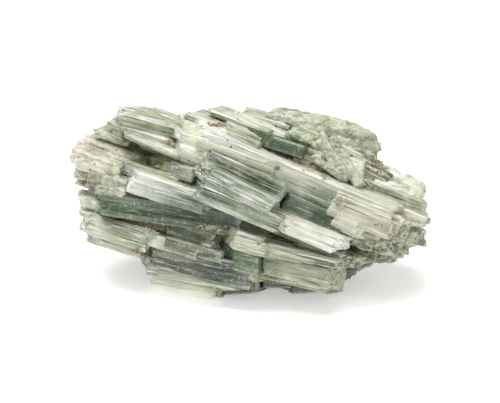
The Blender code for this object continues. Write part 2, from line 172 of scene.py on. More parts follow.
BUNDLES["main_columns"] = (
    ("main_ridge", (-11.3, 16.1, 6.4), (33.0, -2.1, 12.8), 4.6, 0.5, 9, 1, 15, 20, "white cream silky"),
    ("main_cream", (-13.2, 12.7, 7.2), (6.5, 6.0, 10.6), 5.2, 0.2, 10, 1, 20, 15, "cream pale stepped"),
    ("main_olive", (-15.9, 10.7, 6), (2.6, 3.8, 10), 2.9, 0.1, 8, 1, 10, 10, "olive olive silky"),
    ("main_green", (-3.0, 8.4, 9.2), (22.0, -1.8, 12.2), 5.0, 0.12, 9, 1, 10, 15, "cream teal silky"),
    ("blade_upper", (-11.2, 10.8, 10.4), (7.9, 2.2, 14.4), 3.4, 0.1, 7, 1, 20, 10, "olive bottle silky"),
    ("blade_block", (-10.9, 7.6, 14), (5.6, -0.5, 17), 5.0, 0.3, 8, 2, 30, 10, "teal glass silky"),
    ("blade_long", (-12.3, 3.4, 13), (9.0, -5.5, 14.2), 4.8, 0.1, 9, 1, 25, 20, "teal glass silky"),
    ("gap_lath", (8.8, -8.5, 9), (22.0, -13.3, 10), 2.6, 0.1, 8, 1, 10, 25, "olive olive silky"),
    ("main_splinter", (-16.2, 15.2, 7.4), (-8.6, 12.2, 9.6), 2.2, 0.3, 5, 1, 20, 15, "white pale stepped"),
    ("main_sliver", (-16.6, 11.9, 8.4), (-9.2, 9.0, 10.6), 1.9, 0.3, 5, 1, 25, 15, "pale white stepped"),
    ("blade_white", (5.0, -2.7, 15.8), (20.3, -9.2, 16.4), 5.0, 0.4, 9, 1, 25, 20, "cream white stepped"),
    ("blade_plane", (-11.0, 5.4, 8), (19.5, -7.4, 11.4), 8.0, 0.2, 8, 1, 20, 20, "teal green silky"),
    ("main_plane", (-12.5, 11.6, 5), (18.5, 0.3, 10), 8.0, 0.35, 8, 1, 15, 15, "cream green silky"),
)
BUNDLES["top_left_columns"] = (
    ("tip_white", (-27.4, 15.3, 4.4), (-14.6, 10.0, 8.2), 2.4, 0.45, 5, 1, 15, 10, "glass pale worn"),
    ("top_left_back", (-27.1, 20.9, -6), (-20.2, 19.5, -4), 2.0, 0.6, 8, 1, -20, 10, "pale straw worn"),
    ("top_left_a", (-23.5, 20.6, -4.5), (-14.4, 17.4, -2), 2.5, 0.6, 9, 1, -15, 10, "straw straw worn"),
    ("top_left_b", (-27.2, 18.8, -2.4), (-14.9, 15.6, 1.2), 4.9, 0.3, 9, 1, -20, 10, "straw green worn"),
    ("top_left_c", (-30.1, 17.6, -3.5), (-17.1, 13.6, 1.5), 2.6, 0.4, 9, 2, -10, 10, "pale white worn"),
)
BUNDLES["left_columns"] = (
    ("left_block", (-33.6, 16.1, -5), (-26.5, 13.6, -4), 3.4, 0.5, 9, 1, -10, 10, "moss straw worn"),
    ("left_chip", (-30.6, 16.5, -4), (-27.4, 15.4, -2), 1.8, 0.6, 6, 1, 0, 10, "olive cream stepped"),
    ("left_grey", (-36.3, 14.1, -6), (-23.3, 9.1, -2), 2.9, 0.5, 9, 2, 0, 10, "beige straw crumbly"),
    ("left_beige", (-38.2, 12.7, -4), (-26.4, 8.6, -1), 2.9, 0.5, 9, 2, 0, 10, "beige olive crumbly"),
    ("left_pink", (-38.7, 11.4, -4), (-28.5, 7.7, 2), 3.4, 0.5, 9, 2, 0, 10, "beige straw crumbly"),
    ("left_rod", (-39.3, 8.8, 0), (-27.5, 6.3, 5), 3.3, 0.5, 9, 2, 5, 10, "beige straw crumbly"),
    ("left_brown", (-39.0, 6.6, -2), (-29.3, 4.6, 3), 2.4, 0.3, 8, 1, 0, 10, "beige pale crumbly"),
    ("left_foot", (-38.2, 4.8, -4), (-30.8, 3.0, 0), 2.2, 0.3, 8, 1, 0, 10, "beige cream crumbly"),
    ("left_low", (-38.1, 1.0, -2), (-29.8, -1.0, 3), 3.3, 0.4, 9, 1, 5, 10, "beige green crumbly"),
    ("left_white", (-37.8, -1.9, 0), (-29.3, -3.4, 4), 2.4, 0.5, 7, 1, 5, 10, "white green crumbly"),
    ("centre_chip", (-34.0, 2.7, 4.5), (-27.0, 1.9, 7.5), 2.6, 0.3, 7, 2, 10, 20, "glass glass stepped"),
    ("centre_back", (-32.6, 5.2, 3), (-25.4, 3.6, 6.5), 3.8, 0.4, 9, 2, 10, 20, "pale glass stepped"),
)
BUNDLES["centre_columns"] = (
    ("centre_thin", (-27.3, 7.9, 4.4), (-15.0, 4.6, 8.4), 3.2, 0.4, 7, 1, 10, 10, "cream pale stepped"),
    ("wedge_grey", (-18.4, 8.4, 6.8), (-11.6, 6.2, 10.2), 4.2, 0.4, 8, 2, 20, 10, "glass glass silky"),
    ("centre_cream", (-27.2, 5.8, 6.2), (-6.4, -0.3, 10.8), 6.4, 0.3, 10, 1, 15, 25, "white teal stepped"),
    # centre_teal's darkest green at its right end is painted shade over its own bottle green.
    ("centre_teal", (-34.4, 0.1, 4), (-1.5, -5.2, 9.6), 5.0, 0.1, 9, 1, 15, 10, "bottle dark glassy"),
    ("under_upper", (-36.1, -3.0, 2), (-20.0, -7.4, 8), 3.2, 0.3, 8, 1, 10, 10, "pale green worn"),
    ("under_green", (-36.8, -4.8, 1), (-22.0, -9.4, 8), 4.2, 0.05, 9, 1, 5, 10, "cream green worn"),
    ("under_cream", (-34.0, -7.3, 0), (-23.9, -10.3, 6), 3.0, 0.05, 8, 1, 5, 10, "cream straw worn"),
    ("centre_plane", (-31.0, 1.6, 1.6), (-7.0, -3.8, 6.4), 7.0, 0.15, 8, 1, 15, 20, "teal bottle glassy"),
    ("under_plane", (-35.5, -5.4, 0.4), (-22.5, -9.4, 6.2), 6.0, 0.2, 7, 1, 10, 10, "cream straw silky"),
)
BUNDLES["low_columns"] = (
    ("low_upper", (-25.0, -7.0, 6), (-10.5, -11.3, 11), 2.9, 0.2, 8, 1, 15, 10, "white pale broken"),
    ("low_step", (-19.4, -8.0, 9), (-5.3, -11.9, 12), 3.0, 0.3, 8, 1, 15, 10, "smoke smoke glassy"),
    ("low_wide", (-22.6, -11.6, 5), (0.4, -16.3, 12), 5.4, 0.05, 9, 1, 15, 15, "smoke dark broken"),
    ("low_white", (-22.6, -14.5, 5), (-1.3, -18.1, 10), 2.8, 0.15, 9, 1, 10, 15, "glass pale silky"),
    ("low_cream", (-21.6, -16.8, 3), (-6.2, -19.7, 8), 3.0, 0.1, 9, 1, 5, 20, "white cream silky"),
    ("shard_dark", (-19.0, -5.2, 7), (-7.0, -8.9, 10), 3.6, 0.2, 8, 2, 20, 15, "smoke smoke broken"),
    ("shard_stripes", (-11.8, -8.9, 11), (-7.0, -10.2, 12), 1.5, 0.5, 6, 1, 20, 20, "glass cream silky"),
    ("block_upper", (-6.0, -5.4, 11.4), (3.8, -8.6, 13.2), 2.6, 0.4, 9, 1, 25, 15, "cream glass silky"),
    ("block_top", (-5.4, -7.7, 12), (5.0, -10.4, 13.6), 3.6, 0.3, 9, 1, 25, 15, "cream pale silky"),
    ("block_face", (-7.0, -11.3, 11), (3.6, -13.9, 13), 4.8, 0.05, 9, 1, 25, 20, "bottle teal glassy"),
    ("block_low", (-8.2, -13.8, 8), (2.6, -16.3, 12), 2.6, 0.1, 9, 1, 25, 20, "olive pale silky"),
    ("slope_grey", (1.4, -9.5, 10.8), (19.8, -14.0, 13.4), 3.8, 0.2, 9, 1, 15, 20, "pale green silky"),
    ("slope_pale", (0.8, -12.7, 10.6), (18.4, -17.0, 14.2), 4.4, 0.08, 9, 1, 15, 20, "glass pale broken"),
    ("slope_low", (3.5, -14.9, 8), (16.6, -17.6, 12), 3.1, 0.1, 9, 2, 15, 20, "green pale silky"),
    ("block_plane", (-4.0, -10.2, 9.2), (19.5, -15.8, 10.4), 7.6, 0.12, 8, 1, 20, 20, "green glass glassy"),
    ("low_plane", (-22.0, -11.3, 3.8), (-2.0, -15.6, 9.6), 8.5, 0.12, 8, 2, 15, 15, "smoke green glassy"),
)
BUNDLES["broken_end_fibres"] = (
    ("grain_upper", (19.4, -2.5, 9), (31.2, -7.1, 10), 5.3, 0.3, 10, 3, 10, 40, "olive moss crumbly"),
    ("grain_mid", (21.0, -6.7, 7), (30.4, -10.0, 8), 4.9, 0.2, 10, 3, 10, 40, "moss olive crumbly"),
    ("grain_east", (25.7, -5.0, 4), (35.4, -7.9, 6), 4.9, 0.3, 10, 2, 10, 35, "olive straw crumbly"),
    ("grain_low", (17.6, -11.6, 8), (22.5, -12.9, 9), 3.5, 0.2, 9, 2, 10, 35, "glass straw crumbly"),
    ("tail_low", (21.2, -11.5, 0), (31.6, -11.5, 3), 3.6, 0.2, 9, 2, 10, 10, "straw smoke crumbly"),
    ("tail_east", (28.3, -8.4, -3), (36.9, -7.9, -1), 4.5, 0.2, 10, 2, 10, 10, "smoke smoke crumbly"),
)
# The underside's columns are tinted darkest green at both ends: painted shade of the underside.
BUNDLES["base_columns"] = (
    ("base_west", (-7.2, -18.9, 0), (3.1, -18.1, 4), 3.1, 0.1, 12, 1, 10, 15, "dark dark deep"),
    ("base_mid", (1.3, -17.3, 1), (10.2, -17.2, 4), 2.9, 0.1, 12, 1, 10, 15, "dark dark deep"),
    ("base_east", (7.6, -18.4, 1), (18.2, -17.6, 4), 3.6, 0.1, 12, 1, 10, 20, "dark dark deep"),
    ("base_tail", (17.0, -14.9, -1), (25.4, -13.3, 2), 2.9, 0.1, 10, 1, 10, 20, "dark dark deep"),
)

# Columns fused and rounded by wear: the size of the fused skin's faces, of its lumps and how high they
# stand in mm, how often it is smoothed, its share of white threads (partly painted sheen), and its
# material's name, streaking and crust.
Wear = namedtuple("Wear", "face lump height passes silver finish")
WORN_PIECES = {
    "knob_columns": Wear(0.27, 1.6, 0.36, 4, 0.5, ("worn_tremolite", 0.35, 1.0)),
    "cross_columns": Wear(0.21, 0.9, 0.16, 1, 0.5, ("rubbed_tremolite", 0.75, 0.5)),
    "left_columns": Wear(0.25, 1.0, 0.14, 1, 0.8, ("rubbed_tremolite", 0.75, 0.5)),
    "broken_end_fibres": Wear(0.23, 0.8, 0.20, 3, 0.6, ("rubbed_tremolite", 0.75, 0.5)),
}
LUMP_OCTAVES = ((1.0, 1.0), (2.7, 0.45), (6.5, 0.20))  # scale and share of its lumps
NEAREST = 5  # how many points of the columns a point of the fused skin takes its tint from
NEAREST_SOFTENING = 0.1 * MM  # added to its distance from each
WORN_FROST = 0.6  # how much of the columns' frost is left, and how much the lumps add
LUMP_FROST = 1.5
# Massive stone between the fused columns: its middle as seen, half-sizes and tint.
CORES = {
    "knob_columns": (
        ((8.3, 18.0, -5.0), (6.0, 2.2, 4.0), "green"),
        ((15.0, 15.8, -4.0), (9.0, 3.6, 5.0), "pale"),
        ((22.0, 12.7, -3.0), (7.0, 4.6, 5.0), "pale"),
        ((23.5, 8.3, -1.0), (5.5, 4.0, 5.0), "moss"),
        ((17.5, 10.5, 1.0), (4.0, 2.5, 3.0), "pale"),
    ),
    "cross_columns": (
        ((14.4, 9.6, 6.6), (3.4, 1.7, 3.0), "cream"),
        ((18.3, 8.3, 6.0), (3.6, 3.2, 3.4), "pale"),
        ((22.3, 6.2, 6.2), (3.4, 3.6, 3.4), "cream"),
        ((-12.4, 13.4, 4.6), (2.6, 2.6, 2.6), "cream"),
    ),
}
CORE_SUBDIVISIONS = 4
CORE_SILVER = 0.4

SPLIT_PIECES = ("broken_end_fibres",)
SPLIT_TINTS = ("straw", "olive", "moss", "glass", "olive", "smoke")

# Stains, and painted shade over the hollows and over some faces: middle across and up, half-lengths along
# and across the run, the furthest out that they reach, tint and strength.
STAINS_AND_SHADE = (
    (-23.4, 10.9, 6.4, 1.5, 12.0, "stain", 0.4),
    (-6.2, -2.0, 8.0, 1.4, 12.0, "hollow", 0.8),
    (-36.8, 4.9, 2.8, 1.8, 30.0, "stain", 0.4),
    (-28.7, -5.6, 3.4, 1.6, 30.0, "olive", 0.85),
    (-13.4, 1.8, 4.5, 1.5, 30.0, "teal", 0.95),
    (-13.6, -12.1, 5.0, 2.0, 30.0, "smoke", 1.0),
    (-14.0, -2.2, 6.0, 1.5, 30.0, "dark", 0.9),
    (12.0, -1.4, 6.0, 1.6, 30.0, "bottle", 0.6),
    (30.5, -7.2, 3.2, 1.8, 30.0, "olive", 0.65),
    (33.5, -3.2, 4.5, 0.5, 30.0, "stain", 0.5),
    (27.8, -5.4, 4.0, 2.2, 30.0, "tan", 0.35),
    (-25.6, -11.0, 1.5, 0.7, 30.0, "stain", 0.5),
)
STAIN_AND_SHADE_BACK = -12.0  # stains and painted shade reach no deeper than this

# Grains of matrix left in the hollows: where they lie as seen, half-widths across and up,
# how many and which tint.
MATRIX_SPOTS = (
    (-21.2, -5.6, 2.5, 1.1, 102, "tan"),
    (-8.6, -5.6, 2.4, 0.5, 60, "tan"),
    (-6.9, -7.4, 0.7, 1.5, 20, "tan"),
    (2.9, -8.0, 1.1, 2.0, 68, "tan"),
    (2.2, -16.9, 1.8, 0.8, 51, "tan"),
    (5.7, -15.3, 1.4, 0.7, 34, "tan"),
    (17.8, -16.2, 2.0, 1.1, 68, "tan"),
    (-7.3, 17.0, 1.9, 0.8, 61, "brown"),
    (-17.3, 13.4, 1.2, 0.7, 26, "tan"),
    (10.3, 8.9, 1.6, 0.9, 58, "tan"),
    (13.2, 7.3, 1.6, 0.9, 58, "tan"),
    (16.3, 5.4, 1.6, 0.9, 58, "tan"),
    (26.1, 3.4, 0.7, 1.3, 27, "tan"),
    (28.3, 8.0, 1.9, 1.4, 102, "brown"),
    (-24.7, -10.9, 1.0, 0.7, 27, "brown"),
    (19.2, -0.2, 1.6, 1.5, 44, "tan"),
    (-36.2, 4.6, 1.4, 1.2, 12, "brown"),
    (27.6, -4.9, 0.9, 0.6, 4, "brown"),
    (24.5, -9.5, 0.9, 0.6, 4, "brown"),
    (31.5, -9.8, 1.2, 0.6, 4, "brown"),
    (29.8, -7.2, 1.0, 0.6, 3, "brown"),
    (34.5, -5.0, 1.2, 0.4, 4, "brown"),
    (22.0, -13.2, 1.2, 0.8, 5, "brown"),
    (-35.2, 7.2, 1.0, 1.0, 3, "brown"),
)
# Single dark grains: where they lie as seen.
SPECKS = (
    (-4.9, 13.3), (-4.2, 12.0), (-10.7, 16.6), (-13.4, 9.0), (-21.7, 11.5), (-36.9, -4.4),
    (14.1, 2.8), (-38.2, 9.9), (5.8, 16.9), (5.8, 16.9), (6.9, 15.8), (6.9, 15.8),
)
SPECK_SPREAD = 0.1
GRAIN_SPREAD = 0.5  # of the half-widths
GRAIN_SHADES = (0.7, 1.25)
ABOVE_FACES = 60  # mm out from the heart, where a grain starts its fall onto the faces

Lath = namedtuple("Lath", "start end front top deep thick breaks lean")
# strips: narrowest and widest cleavage strip; step: how deep neighbouring strips lie apart; chance: how
# often a strip breaks to another depth; ragged: how uneven the broken ends are; round: how far corners and
# ends are worn back; frost: how far the whitened break reaches; silver: share of white threads, partly the
# fibres' own white and partly painted sheen. All but the chance and the share are in mm.
Habit = namedtuple("Habit", "strips step chance ragged round frost silver")
HABITS = {
    "silky": Habit((0.25, 1.1), 0.028, 0.22, 0.45, 0.14, 1.8, 1.0),
    "worn": Habit((0.25, 1.1), 0.030, 0.22, 0.50, 0.80, 1.4, 1.0),
    "glassy": Habit((0.40, 1.8), 0.018, 0.14, 0.34, 0.10, 1.6, 0.25),
    "clear": Habit((0.60, 2.2), 0.010, 0.08, 0.20, 0.08, 0.5, 0.15),
    "broken": Habit((0.28, 1.2), 0.045, 0.45, 0.60, 0.12, 1.6, 0.35),
    "stepped": Habit((0.30, 1.0), 0.080, 0.40, 0.70, 0.18, 1.2, 0.9),
    "crusty": Habit((0.50, 1.4), 0.160, 0.50, 0.90, 0.70, 4.0, 0.4),
    "crumbly": Habit((0.30, 0.9), 0.080, 0.40, 0.80, 0.45, 2.0, 0.7),
    "deep": Habit((1.2, 3.0), 0.060, 0.30, 0.50, 0.16, 0.8, 0.35),
}

# The strips round a lath: its corners from front to top, and the strips' widths and depths in mm.
CORNERS = ((-0.5, -0.5), (0.5, -0.5), (0.5, 0.5), (-0.5, 0.5))
SEEN_SIDES = (1, 2)
HIDDEN_STRIPS = (1.8, 4.0)  # on the two sides that aren't seen
CORNER_STRIP = 0.28
STRIP_DRIFT = 0.6  # how far a strip follows the depth of the one beside it
STRIP_TILT = 0.25  # how far it tilts, as a share of the habit's step
STRIP_TONES = 0.07  # how far the tint differs from strip to strip
RING_EVERY = 4.5  # mm between the places where a strip can break to another depth
RING_STRAY = 0.38  # how far such a place strays, as a share of that
RING_ROOM = 0.01  # share of the lath kept between such a place and the rounded ends
STEP_LENGTH = 0.12
FIRST_STEP = 0.5  # how deep the strips start, and how deep they break to, as shares of the habit's step
NEXT_STEP = 1.4
GROUP_CHANCE = 0.4  # how often a strip breaks on its own, not with the one beside it
PROUDEST = 0.4  # how far a strip can stand out in mm, and lie deep as a share of the lath
DEEPEST = 0.28

# Corners and ends rounded by wear.
SHARP = 0.3  # corners rounder than this have longer rounded ends too, mm
CORNER_REACH = 1.6  # how wide a corner is worn, as a share of how far it is worn back
UNEVEN_WEAR = (0.5, 1.3)  # how far the ends are worn back from strip to strip
END_ROUNDING = (0.0, 0.2, 0.6)  # mm from the end, where it is worn back in full, in part and not at all
END_PART = 0.35  # how far it is worn back in part
END_VARIETY = (0.7, 1.3)
END_BULGE = 0.5  # how far a worn end stands out, as a share of how far its corners are worn back
END_MARGIN = 1.3  # how much of the lath is kept for its rounded ends, and the most of it
WIDEST_MARGIN = 0.45

# Broken ends, in mm.
CAP_RINGS = (0.88, 0.72, 0.54, 0.32)  # how far out the rings of points on an end lie, as shares
PLAIN_CAP_RINGS = (0.6,)  # of the columns away from the display side
CAP_STRETCH = 8.0  # how much finer than along the lath the streaks run across its ends
BLOCK_CELL = 1.25  # width and height of the blocks of a broken end, and of the fibres on them, mm
BLOCK_HEIGHT = 1.3
FIBRE_CELL = 0.42
FIBRE_HEIGHT = 0.5
BREAK_SLANT = 0.4  # how far the blocks can slant, and how fast that changes with a lath's seed
SLANT_CHANGE = 7
FIBRE_SEED = 5  # what is added to a lath's seed for the fibres on the blocks
FAR_END_SEED = 50  # and for the break at its far end
SEED_RANGE = 100
HASH_STEPS = (12.9898, 78.233)
HASH_SPREAD = 43758.5453
FROST_START = 1.15  # the frost at the very end of a crystal, then how much of it the sides show
SIDE_FROST = 0.9
EDGE_FROST_AND_HIGHLIGHT = 0.6  # the worn whitening and painted highlight on its long edges, and how far it reaches
EDGE_FROST_AND_HIGHLIGHT_WIDTH = 0.2
SPLIT_CELL = 1.25  # how wide the fibres of a crumbling lath are
SPLIT_REACH = 1.0  # how unevenly they end
SPLIT_SCALE = (0.75, 1.2)  # and how thick they are, of their share

# Loose fibres, crumbs and grains, as shares of their longest, widest or largest.
FIBROUS_PIECES = [name for name in BUNDLES if name not in WORN_PIECES] + list(BACK_PIECES)
FIBRE_LENGTHS = (0.25, 1.0)
FIBRE_WIDTHS = (0.35, 1.0)
FIBRE_OVERHANG = 1.6  # of the room left to the crystal's end
CRUMB_EDGE = 5.0  # how sharply crumbs keep to the whitest break
LUMP_SUBDIVISIONS = 1
LUMP_SCALE = 1.3  # of the pattern that makes a crumb or grain angular, and how strong it is
LUMP_HEIGHT = 1.6
LUMP_SIZES = (0.45, 1.25)
WHOLE_TURN = 6.283

# Patterns on the crystals: how fine they are along the grain, across it and from lath to lath, and their
# detail. The even ones have one scale in the piece's own coordinates.
BANDS = ((0.06, 0.8, 1.0), 3.0)
DASHES = ((0.09, 2.6, 1.0), 3.0)
THREADS = ((0.16, 5.6, 1.0), 2.0)
ZONES = ((0.07, 0.45, 1.4), 2.0)
CRACKS = ((1.5, 0.45, 1.0), 1.0)
CLOUDS = (190.0, 4.0)
FLECKS = (1300.0, 2.0)
FELT_CLOUDS = (260.0, 4.0)
FELT_GRIT = (1500.0, 3.0)
GRAIN_CLOUDS = (500.0, 3.0)
GRAIN_GRIT = (2200.0, 3.0)
PATTERN_ROUGHNESS = 0.6

CAMERA_DISTANCE = 0.6
CAMERA_LENS = 193.3
SENSOR_WIDTH = 36.0
FLOOR_HALF = 4.0
FLOOR_TINT = (0.86, 0.86, 0.86)
FLOOR_GLOW = 0.40
SKY_STRENGTH = 0.44
WHITE = (1.0, 1.0, 1.0)
LAMPS = (
    # name, place in metres, size in metres, power in watts
    ("key_light", (-0.15, 0.10, 0.75), 0.7, 7.4),
    ("fill_light", (0.3, -0.8, 0.45), 0.8, 1.7),
)


def colour_setting(name, description, default):
    return FloatVectorProperty(
        name=name, description=description, subtype="COLOR_GAMMA", size=3, min=0.0, max=1.0, default=default
    )


class TremoliteColours(bpy.types.PropertyGroup):
    """The tints of the crystals, of their breaks, of the painted shade in their hollows and of the matrix
    left between them
    """

    white: colour_setting("White", "Silky white fibre", (0.91, 0.91, 0.88))
    cream: colour_setting("Cream", "Frosted cream", (0.79, 0.79, 0.70))
    pale: colour_setting("Pale", "Palest green", (0.68, 0.70, 0.58))
    straw: colour_setting("Straw", "Yellowish green", (0.62, 0.63, 0.47))
    moss: colour_setting("Moss", "Worn crust of the knob", (0.58, 0.61, 0.47))
    green: colour_setting("Green", "Clear mid green", (0.46, 0.52, 0.37))
    olive: colour_setting("Olive", "Olive green in the shade", (0.41, 0.43, 0.27))
    teal: colour_setting("Teal", "Bluish green", (0.36, 0.43, 0.32))
    dark: colour_setting("Dark", "Darkest bottle green", (0.15, 0.22, 0.14))
    bottle: colour_setting("Bottle", "Clear bottle green", (0.26, 0.37, 0.22))
    glass: colour_setting("Glass", "Greyish, nearly glassy green", (0.52, 0.56, 0.47))
    smoke: colour_setting("Smoke", "Grey green", (0.31, 0.35, 0.24))
    beige: colour_setting("Beige", "Pinkish cream", (0.77, 0.73, 0.65))
    stain: colour_setting("Stain", "Iron-stained brown", (0.52, 0.45, 0.30))
    hollow: colour_setting("Hollow", "Shaded, stained hollows", (0.40, 0.38, 0.26))
    speck: colour_setting("Speck", "Single dark grains", (0.25, 0.20, 0.12))
    light: colour_setting("Light streaks", "Fibres that catch the light", (0.96, 0.96, 0.92))
    deep: colour_setting("Deep streaks", "What the deep streaks multiply a tint by", (0.46, 0.50, 0.37))
    # The frost tint also paints the highlight along the crystals' long edges.
    frost: colour_setting("Frost", "Whitened breaks and worn edges", (0.78, 0.79, 0.72))
    # The crevice tint is a dark olive-brown: the felt's own colour darkened by painted shade of the crevices.
    crevice: colour_setting("Crevice", "Felt at the bottom of the crevices", (0.36, 0.35, 0.24))
    tan: colour_setting("Tan matrix", "Sandy grains in the hollows", (0.70, 0.66, 0.54))
    brown: colour_setting("Brown matrix", "Rusty grains in the hollows", (0.50, 0.43, 0.29))


def size_setting(name, description, default, unit="LENGTH"):
    return FloatProperty(name=name, description=description, default=default, min=0.0, unit=unit)


class TremoliteSizes(bpy.types.PropertyGroup):
    """The sizes of the finish"""

    growth: size_setting("Growth", "How far the dressed faces stand proud of the solids", 0.22 * MM)
    step_scale: size_setting("Cleavage steps", "Scale of the steps between strips", 1.0, "NONE")
    ragged_scale: size_setting("Ragged breaks", "Scale of the broken ends' unevenness", 1.0, "NONE")
    fibre_density: size_setting("Fibre density", "Loose fibres for each square metre of face", 0.19e6, "NONE")
    fibre_length: size_setting("Fibre length", "Longest loose fibre", 4.0 * MM)
    fibre_width: size_setting("Fibre width", "Widest loose fibre", 0.09 * MM)
    crumb_density: size_setting(
        "Crumb density", "Crumbs for each square metre of whitened break", 1.0e6, "NONE"
    )
    crumb_size: size_setting("Crumb size", "Radius of a crumb", 0.20 * MM)
    grain_size: size_setting("Grain size", "Radius of a matrix grain", 0.27 * MM)
    seed: IntProperty(name="Seed", description="Seed of the scattered fibres, crumbs and grains", default=4)


def tint_of(name):
    """A named tint, light-linear."""
    return linear(getattr(bpy.context.scene.tremolite_colours, name)[:])


def placed(across, rise, out):
    """The point given as seen from the display side, in the part's own frame."""
    y = rise * math.sin(DISPLAY_TILT) - out * math.cos(DISPLAY_TILT)
    z = rise * math.cos(DISPLAY_TILT) + out * math.sin(DISPLAY_TILT)
    return HEART + Vector((across, y, z)) * MM


OUTWARD = (placed(0, 0, 1) - placed(0, 0, 0)).normalized()
RUN = (placed(*MAIN_RUN) - placed(0, 0, 0)).normalized()


def bundle_laths(dice, start, end, facing, roll, depth, thick, laths, left_turn, right_turn):
    """The laths of one bundle, with the same draws as in the part's solids."""
    axis = (end - start).normalized()
    level = facing.cross(axis)
    turn = Matrix.Rotation(roll, 3, axis)
    front, top = turn @ facing, turn @ level
    place_spread = PLACE_SPREAD * (laths > 1)
    length_spread = LENGTH_SPREAD * (laths > 1)
    found = []
    for k in range(laths):
        share = (k + 0.5) / laths - 0.5
        if thick > depth * FLAT_BUNDLE:
            p, q, deep, tall = 0.0, share * thick, depth, thick / laths * LATH_OVERLAP
        else:
            p, q, deep, tall = share * depth, 0.0, depth / laths * LATH_OVERLAP, thick
        p += dice.uniform(-place_spread, place_spread)
        q += dice.uniform(-place_spread, place_spread)
        shift = (front * p + top * q) * MM
        breaks = []
        for angle in (left_turn, -right_turn):
            towards_viewer = math.tan(angle + dice.uniform(-BREAK_SPREAD, BREAK_SPREAD))
            upwards = math.tan(dice.uniform(-CROSS_BREAK_SPREAD, CROSS_BREAK_SPREAD))
            breaks.append(facing * towards_viewer + level * upwards)
        ends = []
        for point, slope in zip((start, end), breaks):
            along = slope.dot(shift) + dice.uniform(-length_spread, length_spread) * MM
            ends.append(point + shift + axis * along)
        found.append(Lath(*ends, front, top, deep * MM, tall * MM, breaks, dice.uniform(-SKEW, SKEW)))
    return found


def seen_laths(name, left, right, seen_height, top_share, depth, laths, left_turn, right_turn):
    """The laths of a bundle that is laid out as it is seen."""
    start, end = placed(*left), placed(*right)
    axis = (end - start).normalized()
    facing = (OUTWARD - axis * OUTWARD.dot(axis)).normalized()
    nearing = math.asin(OUTWARD.dot(axis))
    roll = math.asin(min(STEEPEST_ROLL, top_share * seen_height / depth))
    thick = max(THINNEST, (1 - top_share) * seen_height / math.cos(roll))
    turns = math.radians(left_turn) + nearing, math.radians(right_turn) - nearing
    return bundle_laths(random.Random(name), start, end, facing, roll, depth, thick, laths, *turns)


def round_heart(angle):
    """The way outwards at an angle round the long axis, from straight up."""
    around = math.radians(angle)
    return Vector((0.0, math.sin(around), math.cos(around)))


def back_laths(angle, count, first, last, distance):
    """The laths of each bundle along the back or the underside, at one angle round the long axis."""
    dice = random.Random(angle)
    outward = round_heart(angle)
    for k in range(count):
        shift = dice.uniform(-BACK_PLACE_SPREAD, BACK_PLACE_SPREAD)
        across = first + (last - first) * k / (count - 1) + shift
        taper = math.sqrt(max(BACK_BLUNTNESS, 1 - (across / BACK_HALF_LENGTH) ** 2))
        reach = distance * taper + dice.uniform(-BACK_REACH_SPREAD, BACK_REACH_SPREAD)
        middle = HEART + (Vector((across, 0, 0)) + outward * reach) * MM
        stray = Vector([dice.uniform(-RUN_SPREAD, RUN_SPREAD) for _ in range(3)])
        axis = (RUN + stray).normalized()
        half = axis * dice.uniform(*BACK_LENGTHS) * MM * (1 + taper) / 2
        facing = (outward - axis * outward.dot(axis)).normalized()
        roll = dice.uniform(-BACK_ROLL, BACK_ROLL)
        depth = dice.uniform(*BACK_DEPTHS)
        thick = dice.uniform(*BACK_THICKNESSES)
        laths = dice.choice(BACK_LATHS)
        turns = [math.radians(dice.uniform(*BACK_TURNS)) for _ in range(2)]
        yield bundle_laths(dice, middle - half, middle + half, facing, roll, depth, thick, laths, *turns)


def crevice_laths():
    """Laths that lie along the heart's surface, behind the bundles of the display side."""
    dice = random.Random("crevice")
    count = round(2 * CREVICE_REACH / CREVICE_SPACING)
    for angle in CREVICE_ANGLES:
        outward = round_heart(angle)
        for k in range(count + 1):
            shift = dice.uniform(-CREVICE_PLACE_SPREAD, CREVICE_PLACE_SPREAD)
            across = (k / count * 2 - 1) * CREVICE_REACH + shift
            taper = math.sqrt(max(CREVICE_BLUNTNESS, 1 - (across / HEART_HALF[0]) ** 2))
            level = HEART_HALF[1] * taper + dice.uniform(*CREVICE_PROUD) - CREVICE_DEPTH / 2
            middle = HEART + (Vector((across, 0, 0)) + outward * level) * MM
            normal = (outward + Vector((across / HEART_HALF[0] * CREVICE_LEAN, 0, 0))).normalized()
            axis = (RUN - normal * RUN.dot(normal)).normalized()
            half = axis * dice.uniform(*CREVICE_LENGTHS) / 2 * MM
            thick = dice.uniform(*CREVICE_THICKNESSES)
            roll = dice.uniform(-CREVICE_ROLL, CREVICE_ROLL)
            turns = CREVICE_TURN, CREVICE_TURN
            ends = middle - half, middle + half
            yield bundle_laths(dice, *ends, normal, roll, CREVICE_DEPTH, thick, 1, *turns)[0]


def split_lath(dice, lath):
    """The fibres that a crumbling lath falls into, each broken off at its own place."""
    axis = (lath.end - lath.start).normalized()
    across, up = (max(1, round(size / MM / SPLIT_CELL)) for size in (lath.deep, lath.thick))
    for i in range(across):
        for j in range(up):
            shift = lath.front * ((i + 0.5) / across - 0.5) * lath.deep
            shift += (lath.top + lath.front * lath.lean) * ((j + 0.5) / up - 0.5) * lath.thick
            ends = []
            for point, slope in zip((lath.start, lath.end), lath.breaks):
                along = slope.dot(shift) + dice.uniform(-SPLIT_REACH, SPLIT_REACH) * MM
                ends.append(point + shift + axis * along)
            deep, thick = lath.deep / across, lath.thick / up
            deep *= dice.uniform(*SPLIT_SCALE)
            thick *= dice.uniform(*SPLIT_SCALE)
            yield Lath(*ends, lath.front, lath.top, deep, thick, lath.breaks, lath.lean)


def scattered(cells, seed):
    """A repeatable value from 0 to 1 for each row of whole numbers."""
    return np.mod(np.sin(cells @ np.array(HASH_STEPS) + seed) * HASH_SPREAD, 1.0)


